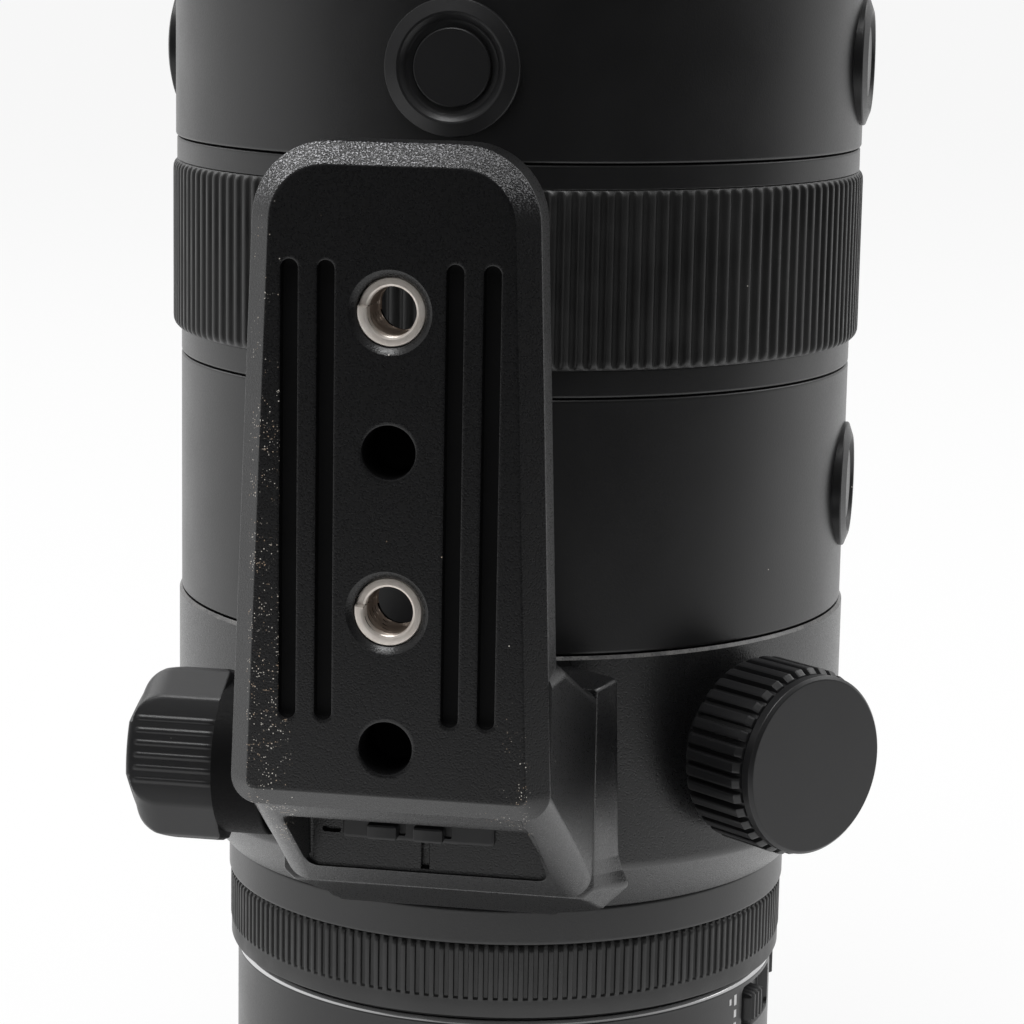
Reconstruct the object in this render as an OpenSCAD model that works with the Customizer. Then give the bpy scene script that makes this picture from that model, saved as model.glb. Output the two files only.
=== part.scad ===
// Telephoto zoom lens with a rotating tripod collar, standing on its camera mount.
// The optical axis is Z and the front of the lens is up. The camera flange is the plane z = 0.
// The tripod foot points along -Y. Azimuths are counted from the foot towards +X.

/* [Barrel heights, camera end to front] */
// Height of the flange's rear edge step, where the rear barrel begins
rear_step = 0.8; // [0.5:0.1:1.5]
// Height of the rear barrel, which carries the switches
rear_barrel_h = 23.6; // [22:0.1:30]
// Height of the control ring
control_ring_h = 9.8; // [8:0.1:12]
// Height of the ring that keeps the tripod collar on
retainer_h = 4.4; // [3.5:0.2:7]
// Height of the collar's tapered rear part
collar_taper_h = 7; // [5:0.5:9]
// Height of the collar's round band
collar_band_h = 26.4; // [23:0.2:30]
// Height of the middle barrel, which carries the display
middle_barrel_h = 30.2; // [28:0.2:36]
// Height of the focus ring
focus_ring_h = 27.6; // [24:0.2:32]
// Height of the barrel with the four front buttons
button_barrel_h = 26.4; // [24:0.2:30]
// Height of the zoom ring
zoom_ring_h = 50; // [46:0.5:56]
// Height of the front barrel
front_barrel_h = 13.6; // [12.6:0.2:16]
// Axial gap at each end of a ring that turns
seam = 0.35; // [0.25:0.05:0.5]

/* [Radial stack, mount outwards] */
// Outer radius of the bayonet spigot
spigot_r = 24.75; // [24:0.05:27]
// Width of the mount flange, from the spigot out to the tube's rear radius
flange_w = 8.25; // [7.5:0.05:10]
// Step from the tube's rear radius up to the journal that the collar turns on
journal_step = 5; // [4:0.1:6]
// Step from the journal up to the tube inside the middle barrel
middle_step = 1.5; // [1:0.1:2]
// Step up to the tube inside the focus and zoom rings
front_step = 1.5; // [1:0.1:2]
// Wall of the front stretch of the tube
tube_wall = 2; // [1.8:0.1:2.4]
// Radial gap of a shell that is fixed on the tube
fit_gap = 0.05; // [0.03:0.01:0.1]
// Radial gap of a ring that turns
run_gap = 0.15; // [0.1:0.01:0.2]

/* [Shell walls] */
// Wall of the rear barrel
rear_wall = 2.35; // [2:0.05:3]
// Wall of the control ring with its ribs
control_wall = 3.25; // [2.5:0.05:4]
// Wall of the collar retainer
retainer_wall = 3.55; // [3:0.05:4]
// Wall of the collar at its rear end
collar_rear_wall = 4.05; // [3.5:0.05:4.5]
// Wall of the collar's round band
collar_wall = 4.95; // [4.5:0.05:6]
// Wall of the middle barrel
middle_wall = 3.25; // [3:0.05:4]
// Wall of the focus ring with its grip and ribs
focus_wall = 2.7; // [2.5:0.05:3.5]
// Wall of the button barrel
button_wall = 2.45; // [2.3:0.05:3]
// Wall of the zoom ring with its grip and ribs
zoom_wall = 3.35; // [3:0.05:4]
// Wall of the front barrel
front_wall = 2.85; // [2.5:0.05:3.5]

/* [Grips] */
// Number of ribs on the focus grip
focus_ribs = 162; // [120:1:200]
// Number of ribs on the zoom grip
zoom_ribs = 108; // [80:1:140]
// Number of ribs on the control ring
control_ribs = 186; // [140:1:220]
// Depth of the ribs on the focus and zoom grips
grip_rib_depth = 0.65; // [0.4:0.05:0.8]
// Depth of the ribs on the control ring
control_rib_depth = 0.5; // [0.3:0.05:0.7]
// Height of the plain lip below the control ring's ribs
control_lip = 2.6; // [2:0.1:4]
// Height of the plain lip at the camera end of the focus ring
focus_rear_lip = 3.2; // [2.4:0.1:4.5]
// Height of the plain lip at the front end of the focus ring
focus_front_lip = 2.6; // [2:0.1:4]
// Height of the plain lips of the zoom ring
zoom_lip = 6; // [5:0.2:8]
// How far a grip's seat lies below the lips
grip_seat = 0.4; // [0.3:0.05:0.6]

/* [Buttons and display] */
// Diameter of a round function button
button_d = 8.9; // [8:0.1:9.5]
// Diameter of the bezel round a button
bezel_d = 15.2; // [14.5:0.1:16.5]
// How far a bezel stands out of its barrel
bezel_rise = 1; // [0.7:0.1:1.4]
// How far a button's face lies below the bezel's rim
button_drop = 0.35; // [0.2:0.05:0.5]
// Travel of a button
button_travel = 0.4; // [0.3:0.05:0.5]
// Sliding gap round a button
button_gap = 0.1; // [0.08:0.01:0.15]
// Height of the front buttons above the rear edge of their barrel
front_button_up = 10.7; // [10:0.1:14]
// Width of the display window in degrees
window_span = 46; // [36:1:52]
// Height of the display window
window_h = 13; // [10:0.5:16]

/* [Switches] */
// Azimuth of the focus limit switch
limit_switch_az = 80; // [70:1:85]
// Azimuth of the focus mode switch
mode_switch_az = 112; // [105:1:125]
// Travel of a switch in degrees round the axis
switch_travel = 9; // [6:0.5:10]
// Width of a switch slider in degrees
switch_span = 9; // [7:0.5:10]
// Height of a switch slider along the axis
switch_h = 4.4; // [3.6:0.2:6]

/* [Camera mount] */
// Thickness of the mount flange
flange_t = 3; // [2.5:0.1:3.5]
// Wall of the bayonet spigot
spigot_wall = 1.5; // [1.2:0.1:2]
// Length of the spigot behind the flange
spigot_h = 5.5; // [5:0.1:6.5]
// How far the bayonet tabs stand out
tab_reach = 2.2; // [1.8:0.1:2.6]
// Width of the flat flange face
flange_face_w = 5; // [4.6:0.1:5.6]
// Distance of the mount screws from the flange's rim
mount_screw_inset = 2.6; // [2.4:0.1:2.8]
// Radius of a mount screw's shank
mount_screw_r = 1; // [0.8:0.1:1.2]
// Number of camera contacts
contact_count = 11; // [7:1:12]

/* [Tripod collar] */
// Half width of the pedestal at its face
pedestal_half_w = 19.2; // [17.5:0.1:21]
// How much wider the pedestal gets behind its face, on each side
pedestal_flare = 2; // [1:0.1:2.4]
// How far the pedestal's face stands out of the collar band
pedestal_rise = 7.9; // [7:0.1:10]
// Half width of the dovetail at its root
dovetail_root = 12; // [10:0.2:13]
// Height of the dovetail
dovetail_h = 4; // [3:0.1:5]
// Sliding gap round the dovetail
dovetail_gap = 0.2; // [0.15:0.01:0.3]
// Azimuth of the collar lock knob
lock_az = 50; // [44:1:60]
// Diameter of the collar lock knob over its ribs
lock_d = 22.6; // [20:0.1:24]
// Length of the ribbed part of the collar lock knob
lock_h = 9.4; // [8:0.1:12]
// Thickness of the cap on the collar lock knob
lock_cap_t = 1.8; // [1.2:0.1:3]
// Radius of the collar lock screw
lock_screw_r = 3; // [2.5:0.1:3.5]

/* [Tripod foot] */
// Distance of the foot's flat face from the pedestal's face
foot_standoff = 24; // [21:0.5:30]
// Thickness of the foot plate
foot_t = 8; // [7:0.2:9]
// Length of the foot plate
foot_len = 73.1; // [68:0.1:80]
// Half width of the foot plate at its rear end
foot_rear_half = 18; // [17.6:0.1:18.6]
// Half width of the foot plate at its front end
foot_front_half = 15.4; // [15:0.1:17]
// Corner radius at the front end of the plate
foot_front_corner = 8.5; // [6:0.5:11]
// Bevel round the foot's face
foot_bevel = 2.2; // [1:0.1:2.4]
// How far the plate's rear end lies in front of the collar band's rear edge
foot_rear_offset = 15.2; // [14:0.2:18]
// Radius of the tripod thread at its crests
thread_r = 2.6; // [2.5:0.05:2.7]
// Outer radius of a thread insert
insert_r = 3.75; // [3.4:0.05:4]
// How far a thread insert is sunk below the foot's face
insert_sink = 0.8; // [0.5:0.1:1.2]
// Distance between the two tripod threads
thread_pitch = 32.5; // [30:0.5:36]
// Radius of the two anti-twist holes
pin_hole_r = 2.9; // [2.6:0.05:3.1]
// Depth of the anti-twist holes
pin_hole_depth = 6; // [5:0.2:6.5]
// Width of the grooves in the foot's face
groove_w = 1.9; // [1.5:0.1:2.4]
// Depth of the grooves in the foot's face
groove_depth = 1; // [0.6:0.1:1.4]
// Distances of the grooves from the middle of the foot
groove_x = [7, 11];
// Length of the grooves
groove_len = 49; // [42:0.5:52]
// Length of the foot clamp knob along its axis
clamp_knob_len = 10.8; // [8:0.2:12]
// Height of the foot clamp knob
clamp_knob_h = 19.4; // [17:0.2:21]
// Depth of the foot clamp knob
clamp_knob_w = 14; // [12:0.2:15]
// Radius of the foot clamp screw
clamp_screw_r = 2.4; // [2:0.1:2.6]

/* [Optics and drive] */
// Wall of the filter ring behind its thread
filter_wall = 2.9; // [2.6:0.05:3.3]
// Length of the filter thread
filter_h = 6; // [4:0.2:6.4]
// Turn of the zoom ring in degrees
zoom_turn = 70; // [60:1:75]
// Travel of the variator towards the camera
variator_travel = 22; // [18:0.5:24]
// Travel of the compensator towards the front
compensator_travel = 14; // [12:0.5:15]
// Travel of the focus cell towards the front
focus_travel = 22; // [16:0.5:24]
// Height of a zoom lens cell
cell_h = 12; // [10:0.2:13]
// Wall of the lens cells
cell_wall = 2.4; // [2:0.1:3]
// Wall of the cam tube
cam_wall = 1.8; // [1.5:0.1:2]
// Radius of a cam follower
follower_r = 1.5; // [1.2:0.1:1.8]
// Distance from an iris blade's pivot in to the open iris
blade_reach = 7.3; // [6.5:0.1:8]
// Distance from an iris blade's pivot to its drive pin
blade_arm = 3.4; // [3:0.1:4]
// Turn of an iris blade when the iris closes
blade_turn = 32; // [24:1:34]

/* [Hidden] */
$fn = 96;
LITTLE = 0.01;
DRUM = 120;
bodies_black = "#1b1c1e";
rubber_black = "#131313";
paint_black = "#202123";
inner_black = "#2a2a2c";
steel = "#c9c8c4";
glass_tint = "#9fb6c4";

// Stations along the axis, each the rear edge of the piece that it names
z_rear = rear_step;
z_control = z_rear + rear_barrel_h;
z_retainer = z_control + control_ring_h;
z_collar = z_retainer + retainer_h;
z_band = z_collar + collar_taper_h;
z_middle = z_band + collar_band_h;
z_focus = z_middle + middle_barrel_h;
z_button = z_focus + focus_ring_h;
z_zoom = z_button + button_barrel_h;
z_front = z_zoom + zoom_ring_h;
z_end = z_front + front_barrel_h;

// Radii of the tube and of the shells on it
tube_rear_r = spigot_r + flange_w;
journal_r = tube_rear_r + journal_step;
tube_middle_r = journal_r + middle_step;
tube_front_r = tube_middle_r + front_step;
rear_r = tube_rear_r + fit_gap + rear_wall;
control_r = tube_rear_r + run_gap + control_wall;
retainer_r = tube_rear_r + fit_gap + retainer_wall;
collar_rear_r = tube_rear_r + run_gap + collar_rear_wall;
collar_r = journal_r + run_gap + collar_wall;
middle_r = tube_middle_r + fit_gap + middle_wall;
focus_r = tube_front_r + run_gap + focus_wall;
button_barrel_r = tube_front_r + fit_gap + button_wall;
zoom_r = tube_front_r + run_gap + zoom_wall;
front_r = tube_front_r + fit_gap + front_wall;
filter_r = tube_front_r - filter_wall;
flange_face_r = tube_rear_r - flange_face_w;
mount_screw_circle_r = tube_rear_r - mount_screw_inset;
pedestal_y = collar_r + pedestal_rise;
foot_face_y = pedestal_y + foot_standoff;

// The tube's steps
shoulder_step = 1.2;
z_journal = z_band + shoulder_step;
rear_bore_r = tube_rear_r - 2.5;
screw_land_r = rear_bore_r - 2;
screw_land_h = 9;
z_screw_land = flange_t + screw_land_h;
journal_bore_r = journal_r - 3.5;
z_journal_bore = z_journal + 2;
middle_bore_r = tube_middle_r - 3.5;
z_front_bore = z_focus + 6;
front_bore_r = tube_front_r - tube_wall;
tube_engage = 3.8;
z_tube_end = z_front + tube_engage;

// The cam drive
cam_r = front_bore_r - run_gap;
cam_bore_r = cam_r - cam_wall;
cell_r = cam_bore_r - run_gap;
guide_depth = 1.3;
follower_gap = 0.25;
guide_r = front_bore_r + guide_depth;
follower_tip_r = guide_r - follower_gap;
iris_flange_t = 1.5;
cam_end_gap = 2.2;
z_cam = z_front_bore + iris_flange_t + cam_end_gap;
front_cell_h = 18;
z_front_cell = z_tube_end - front_cell_h;
z_cam_end = z_front_cell - cam_end_gap;
key_r = 2;
key_from_end = 4;
z_key = z_cam_end - key_from_end;
key_az = 60;
key_gap = 0.25;
z_variator = z_key - key_r - cell_h / 2;
z_compensator = z_cam + cell_h;
follower_count = 3;
follower_az = [for (i = [0 : follower_count - 1]) 90 + i * 360 / follower_count];

// The iris
iris_blades = 7;
iris_wall = 1.4;
iris_base_t = 1.2;
iris_depth = 14;
z_iris = z_front_bore - iris_depth;
iris_outer_r = middle_bore_r - fit_gap;
iris_inner_r = iris_outer_r - iris_wall;
blade_t = 0.15;
blade_step = 0.24;
blade_clear = 0.1;
blade_pin_r = 0.6;
blade_pin_gap = 0.12;
iris_ring_out_r = iris_inner_r - run_gap;
drive_inset = 3.2;
blade_drive_r = iris_ring_out_r - drive_inset;
blade_pivot_r = blade_drive_r - blade_arm;
iris_r = blade_pivot_r - blade_reach;
blade_overhang = 0.5;
blade_in_r = iris_r + blade_overhang;
blade_w = 5;
blade_out_r = blade_in_r + blade_w;
blade_span = 75;
blade_lug_r = 1.5;
z_blades = z_iris + iris_base_t + blade_clear;
iris_ring_t = 1;
z_iris_ring = z_blades + iris_blades * blade_step + blade_clear;
iris_ring_margin = 2;
iris_ring_in_r = iris_r + iris_ring_margin;
drive_slot_gap = 0.3;

// The focus drive
rear_cell_flange_t = 2;
z_rear_cell_top = z_journal_bore + rear_cell_flange_t;
bar_r = 1.5;
bar_inset = 4.5;
bar_y = journal_bore_r - bar_inset;
bar_gap = 0.1;
focus_cell_h = 10;
focus_cell_rest = 5;
z_focus_cell = z_rear_cell_top + focus_cell_rest;
focus_glass_r = 21;
focus_cell_r = focus_glass_r + cell_wall;
coil_t = 3;
magnet_t = 3;
coil_gap = 0.4;
coil_half = 8;
magnet_half = 7;
coil_seat = 0.6;
rear_glass_r = 20;
rear_cell_wall = 3;
rear_cell_h = 30;

// The glass, with the bulge of each rear and front face
cell_lip = 1.2;
focus_lip = 1;
glass_gap = 0.1;
front_cell_wall = 2;
front_glass_t = 4.7;
front_glass_gap = 0.3;
front_bulge = [-1.5, 4];
variator_glass_t = 8;
variator_bulge = [-2, -2.4];
compensator_glass_t = 6;
compensator_bulge = [1, 2];
focus_glass_t = 6;
focus_bulge = [1.2, -1];
rear_glass_t = 6;
rear_bulge = [1.4, -0.8];

// The buttons
button_flange = 0.8;
button_flange_t = 0.3;
button_clear = 0.3;
bezel_sink = button_barrel_r - tube_front_r - button_flange_t - button_travel - button_clear;
dish_margin = 1.7;
dish_depth = 0.9;
bezel_pocket_gap = 0.05;
z_front_buttons = z_button + front_button_up;
z_display = z_middle + middle_barrel_h / 2;
window_t = 1.4;
window_az = 180;
function_az = 90;

// The switches
switch_pocket_r = rear_r - 1.4;
switch_rise = 1.2;
switch_slack = 0.7;
switch_margin = 0.8;
switch_below = 4.5;
z_switch = z_control - switch_below;
switch_ridges = 4;
switch_ridge_depth = 0.4;

// The collar and the foot
lock_boss_r = 7.5;
lock_boss_y = collar_r + 2.4;
lock_gap = 0.3;
lock_rise = 0.7;
lock_z = z_band + collar_band_h / 2 + lock_rise;
lock_ribs = 36;
lock_rib_depth = 0.6;
lock_screw_gap = 0.08;
lock_screw_grip = 6;
lock_cap_margin = 0.55;
dovetail_lean = 2;
dovetail_stop = 6.4;
pedestal_straight = 5.4;
pedestal_undercut = 5.8;
pedestal_drop = 0.95;
z_pedestal = z_middle - seam - pedestal_drop;
pedestal_skirt = 1.4;
pedestal_skirt_h = 11;
pedestal_corner = 7.4;
z_foot = z_band + foot_rear_offset;
z_foot_end = z_foot + foot_len;
foot_top_y = foot_face_y - foot_t;
foot_bevel_h = 2;
neck_half = pedestal_half_w - 0.1;
neck_top_half = foot_rear_half - 0.9;
neck_top_t = foot_t - foot_bevel_h;
neck_top_len = 16.5;
neck_jaw_t = 1.6;
neck_drop = 0.7;
neck_corner = 2.6;
z_neck = z_band + neck_drop;
foot_rear_corner = 3.2;
thread_from_end = 17.8;
z_thread_front = z_foot_end - thread_from_end;
z_thread_rear = z_thread_front - thread_pitch;
pin_hole_offset = 15;
insert_len = foot_t - insert_sink;
insert_rim = 0.75;
groove_end = 12.6;
insert_gap = 0.02;
pocket_wall = 6.2;
pocket_half = neck_half - pocket_wall;
pocket_floor = 1.2;
pocket_y = pedestal_y + dovetail_h + dovetail_gap + pocket_floor;
pocket_lip = 2.2;
z_pocket = z_foot - pocket_lip;
clamp_out = 0.5;
clamp_rise = 15.2;
clamp_y = pedestal_y + dovetail_h / 2 + clamp_out;
clamp_z = z_band + clamp_rise;
clamp_hub_len = 4;
clamp_turn = 16;
clamp_hub_r = 8.9;
clamp_gap = 0.1;
clamp_way_gap = 0.8;
clamp_x = neck_half + clamp_hub_len;
clamp_corner = 4;
clamp_grooves = 6;
clamp_groove_pitch = 1.7;
clamp_groove_depth = 0.6;
clamp_dome_r = 26;
latch_travel_gap = 4;
latch_half = pocket_half - latch_travel_gap;
latch_t = 1;
latch_len = 5.4;
latch_tab_w = 3.5;
latch_tab_h = 2;
latch_tab_len = 1.8;
latch_tab_x = [-5.8, -0.4];

front_button_names = ["front_button_1", "front_button_2", "front_button_3", "front_button_4"];
blade_names = [for (i = [1 : iris_blades]) str("iris_blade_", i)];

// Shared shapes

// A round tube between two heights
module tube(r_out, r_in, z0, z1) {
    translate([0, 0, z0])
        difference() {
            cylinder(r = r_out, h = z1 - z0, $fn = DRUM);
            translate([0, 0, -1]) cylinder(r = r_in, h = z1 - z0 + 2, $fn = DRUM);
        }
}

// A stretch of a round wall, centred on an azimuth
module arc_wall(az, span, r_in, r_out, z0, z1) {
    rotate([0, 0, az - 90 - span / 2])
        rotate_extrude(angle = span, $fn = DRUM)
            polygon([[r_in, z0], [r_out, z0], [r_out, z1], [r_in, z1]]);
}

// Places children on the axis that leaves the barrel at an azimuth and a height, with local Z outwards
module outwards(az, z) {
    rotate([0, 0, az - 90])
        translate([0, 0, z])
            rotate([0, 90, 0])
                children();
}

// A round pin that lies along a radius
module radial_pin(az, z, r, from, to) {
    outwards(az, z)
        translate([0, 0, from])
            cylinder(r = r, h = to - from);
}

// Outline of a ribbed ring: each rib is a trapezium with half of the pitch as its land
function rib_points(count, r_root, r_tip) = [
    for (i = [0 : count - 1])
        for (corner = [[0.14, r_root], [0.34, r_tip], [0.66, r_tip], [0.86, r_root]])
            let (a = (i + corner[0]) * 360 / count) [corner[1] * cos(a), corner[1] * sin(a)]
];

// A ribbed ring between two heights
module ribbed_ring(count, r_root, r_tip, r_in, z0, z1) {
    translate([0, 0, z0])
        difference() {
            linear_extrude(height = z1 - z0) polygon(rib_points(count, r_root, r_tip));
            translate([0, 0, -1]) cylinder(r = r_in, h = z1 - z0 + 2, $fn = 3 * DRUM);
        }
}

// How far a glass is lifted so that its convex face rests on the inner edge of a lip
function seat_rise(r, lip, bulge) = max(0, bulge) * (1 - pow((r - lip) / r, 2)) + fit_gap;

// A slice of glass between two spherical faces. A bulge is positive where a face is convex.
module lens(r, z0, z1, rear_bulge, front_bulge) {
    steps = 12;
    function face(x, bulge) = bulge * (1 - pow(x / r, 2));
    rear = [for (i = [0 : steps]) let (x = r * i / steps) [x, z0 - face(x, rear_bulge)]];
    front = [for (i = [steps : -1 : 0]) let (x = r * i / steps) [x, z1 + face(x, front_bulge)]];
    rotate_extrude($fn = DRUM) polygon(concat(rear, front));
}

// Camera mount

module mount_ring() {
    spigot_in = spigot_r - spigot_wall;
    relief = 0.4;
    tab_z = [-4, -2.4];
    tab_span = 42;
    color(steel) {
        difference() {
            rotate_extrude($fn = DRUM)
                polygon([
                    [spigot_in, -spigot_h], [spigot_r, -spigot_h], [spigot_r, relief],
                    [flange_face_r, relief], [flange_face_r, 0], [tube_rear_r, 0],
                    [tube_rear_r, flange_t], [spigot_in, flange_t]
                ]);
            mount_screw_places()
                translate([0, 0, -1]) cylinder(r = mount_screw_r + fit_gap, h = flange_t + 2);
            mount_screw_places()
                translate([0, 0, -LITTLE])
                    cylinder(r = mount_head_r() + fit_gap, h = mount_head_t() + LITTLE);
        }
        for (i = [0 : 3])
            arc_wall(20 + i * 90, tab_span, spigot_r - LITTLE, spigot_r + tab_reach, tab_z[0], tab_z[1]);
    }
}

function mount_head_r() = mount_screw_r + 0.75;
function mount_head_t() = 1.3;

module mount_screw_places() {
    for (i = [0 : 3])
        rotate([0, 0, 45 + i * 90])
            translate([mount_screw_circle_r, 0, 0])
                children();
}

module mount_screws() {
    head_sink = 0.1;
    slot_w = 0.6;
    shank_len = 5;
    color("dimgray")
        mount_screw_places()
            difference() {
                union() {
                    translate([0, 0, head_sink])
                        cylinder(r = mount_head_r(), h = mount_head_t() - head_sink);
                    translate([0, 0, head_sink]) cylinder(r = mount_screw_r, h = flange_t + shank_len);
                }
                for (a = [0, 90])
                    rotate([0, 0, a])
                        translate([-mount_head_r() / 2, -slot_w / 2, 0])
                            cube([mount_head_r(), slot_w, head_sink + 0.6]);
            }
}

module mount_gasket() {
    lip = 0.3;
    width = 1.4;
    color(rubber_black)
        tube(tube_rear_r + fit_gap + width, tube_rear_r + fit_gap, -lip, rear_step);
}

module rear_baffle() {
    plate_t = 1.2;
    plate_r = spigot_r - spigot_wall - fit_gap;
    rim = 1.4;
    window_y = 26;
    window_x = 2 * sqrt(pow(plate_r - rim, 2) - pow(window_y / 2, 2));
    color(inner_black)
        difference() {
            cylinder(r = plate_r, h = plate_t, $fn = DRUM);
            translate([-window_x / 2, -window_y / 2, -1]) cube([window_x, window_y, plate_t + 2]);
        }
}

contact_az = 180;
contact_span = 84;
contact_depth = 3.4;
contact_rise = 0.5;
contact_in_r = spigot_r - spigot_wall - contact_depth;
contact_z = contact_rise - spigot_h;

module contact_block() {
    color(inner_black)
        arc_wall(contact_az, contact_span, contact_in_r, spigot_r - spigot_wall - fit_gap, contact_z, 0);
}

module contact_pins() {
    pin_r = 0.8;
    stand_out = 0.2;
    inset = 8;
    pitch = (contact_span - 2 * inset) / (contact_count - 1);
    pin_circle_r = (contact_in_r + spigot_r - spigot_wall) / 2;
    color("goldenrod")
        for (i = [0 : contact_count - 1])
            rotate([0, 0, contact_az - 90 - contact_span / 2 + inset + i * pitch])
                translate([pin_circle_r, 0, contact_z - stand_out])
                    cylinder(r = pin_r, h = stand_out, $fn = 32);
}

// Rear barrel with its switches and the control ring

module rear_barrel() {
    color(bodies_black)
        difference() {
            tube(rear_r, tube_rear_r + fit_gap, z_rear, z_control);
            for (az = [limit_switch_az, mode_switch_az])
                arc_wall(az, switch_span + switch_travel + 2 * switch_slack, switch_pocket_r, rear_r + 1,
                    z_switch - switch_h / 2 - switch_margin, z_switch + switch_h / 2 + switch_margin);
        }
}

// A slider that rests at the foot side of its pocket, with ridges across its face
module switch_slider(az) {
    lift = 0.05;
    ridge_pitch = switch_span / (switch_ridges + 1);
    top_r = rear_r + switch_rise;
    difference() {
        arc_wall(az - switch_travel / 2, switch_span, switch_pocket_r + lift, top_r,
            z_switch - switch_h / 2, z_switch + switch_h / 2);
        for (i = [1 : switch_ridges])
            arc_wall(az - switch_travel / 2 - switch_span / 2 + i * ridge_pitch, ridge_pitch / 2,
                top_r - switch_ridge_depth, top_r + 1,
                z_switch - switch_h / 2 - 1, z_switch + switch_h / 2 + 1);
    }
}

module limit_switch() { color(paint_black) switch_slider(limit_switch_az); }

module mode_switch() { color(paint_black) switch_slider(mode_switch_az); }

module control_ring() {
    color(rubber_black)
        union() {
            ribbed_ring(control_ribs, control_r - control_rib_depth, control_r, tube_rear_r + run_gap,
                z_control + seam + control_lip - LITTLE, z_retainer - seam);
            tube(control_r - control_rib_depth / 2, tube_rear_r + run_gap, z_control + seam,
                z_control + seam + control_lip);
        }
}

module collar_retainer() {
    color(bodies_black)
        tube(retainer_r, tube_rear_r + fit_gap, z_retainer, z_collar);
}

// The main tube that everything is built on

module main_tube() {
    guide_z = [z_compensator - cell_h / 2, z_key - key_r];
    color(inner_black)
        difference() {
            rotate_extrude($fn = DRUM)
                polygon([
                    [screw_land_r, flange_t], [tube_rear_r, flange_t],
                    [tube_rear_r, z_journal], [journal_r, z_journal],
                    [journal_r, z_middle], [tube_middle_r, z_middle],
                    [tube_middle_r, z_focus], [tube_front_r, z_focus],
                    [tube_front_r, z_tube_end], [front_bore_r, z_tube_end],
                    [front_bore_r, z_front_bore], [middle_bore_r, z_front_bore],
                    [middle_bore_r, z_middle], [journal_bore_r, z_middle],
                    [journal_bore_r, z_journal_bore], [rear_bore_r, z_journal_bore],
                    [rear_bore_r, z_screw_land], [screw_land_r, z_screw_land]
                ]);
            for (az = follower_az)
                outwards(az, 0)
                    translate([-guide_z[1], -follower_r - follower_gap, front_bore_r - 1])
                        cube([guide_z[1] - guide_z[0], 2 * (follower_r + follower_gap), 1 + guide_depth]);
            key_slot();
            mount_screw_places()
                translate([0, 0, flange_t - 1]) cylinder(r = mount_screw_r + fit_gap, h = screw_land_h - 1);
        }
}

// The window that the zoom key sweeps through
module key_slot() {
    key_turn = asin((key_r + key_gap) / front_bore_r);
    arc_wall(key_az + zoom_turn / 2, zoom_turn + 2 * key_turn, front_bore_r - 1, tube_front_r + 1,
        z_key - key_r - key_gap, z_key + key_r + key_gap);
}

// Tripod collar

// Section of the dovetail rail, grown by a gap
module dovetail_section(gap) {
    polygon([
        [-dovetail_root - gap, -pedestal_y + 1], [-dovetail_root - gap, -pedestal_y],
        [-dovetail_root - dovetail_lean - gap, -pedestal_y - dovetail_h - gap],
        [dovetail_root + dovetail_lean + gap, -pedestal_y - dovetail_h - gap],
        [dovetail_root + gap, -pedestal_y], [dovetail_root + gap, -pedestal_y + 1]
    ]);
}

module collar_ring() {
    z_top = z_middle - seam;
    color(paint_black)
        difference() {
            union() {
                rotate_extrude($fn = DRUM)
                    polygon([
                        [0, z_collar + seam], [collar_rear_r, z_collar + seam],
                        [collar_r, z_band], [collar_r, z_top], [0, z_top]
                    ]);
                pedestal_block(pedestal_head(), pedestal_front(false));
                pedestal_block(pedestal_skirt_plan(), pedestal_front(true));
                translate([0, 0, z_band + dovetail_stop + dovetail_gap])
                    linear_extrude(height = z_pedestal - z_band - dovetail_stop - dovetail_gap)
                        dovetail_section(0);
                radial_pin(lock_az, lock_z, lock_boss_r, journal_r + 1, lock_boss_y);
            }
            translate([0, 0, z_collar])
                cylinder(r = tube_rear_r + run_gap, h = z_middle - z_collar, $fn = DRUM);
            translate([0, 0, z_journal - seam])
                cylinder(r = journal_r + run_gap, h = z_middle - z_journal, $fn = DRUM);
            radial_pin(lock_az, lock_z, lock_screw_r + lock_screw_gap, journal_r - 2, lock_boss_y + 1);
            clamp_way();
        }
}

// A piece of the pedestal, cut by its plan, by its side view with an underside as steep as the
// collar's cone, and by its front view
module pedestal_block(plan, front) {
    z_low = z_collar + seam;
    cone_run = collar_r - collar_rear_r;
    half = pedestal_half_w + pedestal_flare + pedestal_skirt;
    intersection() {
        translate([0, 0, z_low]) linear_extrude(height = z_pedestal - z_low) polygon(plan);
        rotate([90, 0, 90])
            translate([0, 0, -half])
                linear_extrude(height = 2 * half)
                    polygon([
                        [0, z_low], [cone_run - pedestal_y, z_low], [-pedestal_y, z_band],
                        [-pedestal_y, z_pedestal], [0, z_pedestal]
                    ]);
        rotate([90, 0, 0]) linear_extrude(height = pedestal_y + 1) polygon(front);
    }
}

// Plan of the head, which widens behind its face and is undercut down to the band
function pedestal_head() =
    let(mid_half = pedestal_half_w + pedestal_flare)
    let(mid_y = pedestal_y - pedestal_straight)
    let(root_half = mid_half - pedestal_undercut)
    let(root_y = sqrt(pow(collar_r, 2) - pow(root_half, 2)))
    [
        [-root_half, -root_y], [-mid_half, -mid_y], [-pedestal_half_w, -pedestal_y],
        [pedestal_half_w, -pedestal_y], [mid_half, -mid_y], [root_half, -root_y], [0, 0]
    ];

// Plan of the skirt, which flares from the face down to the band
function pedestal_skirt_plan() =
    let(root_half = pedestal_half_w + pedestal_flare + pedestal_skirt)
    let(root_y = sqrt(pow(collar_r, 2) - pow(root_half, 2)))
    let(flare_y = pedestal_y - pedestal_straight)
    [
        [-root_half, -root_y], [-root_half, -flare_y], [-pedestal_half_w, -pedestal_y],
        [pedestal_half_w, -pedestal_y], [root_half, -flare_y], [root_half, -root_y], [0, 0]
    ];

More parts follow.
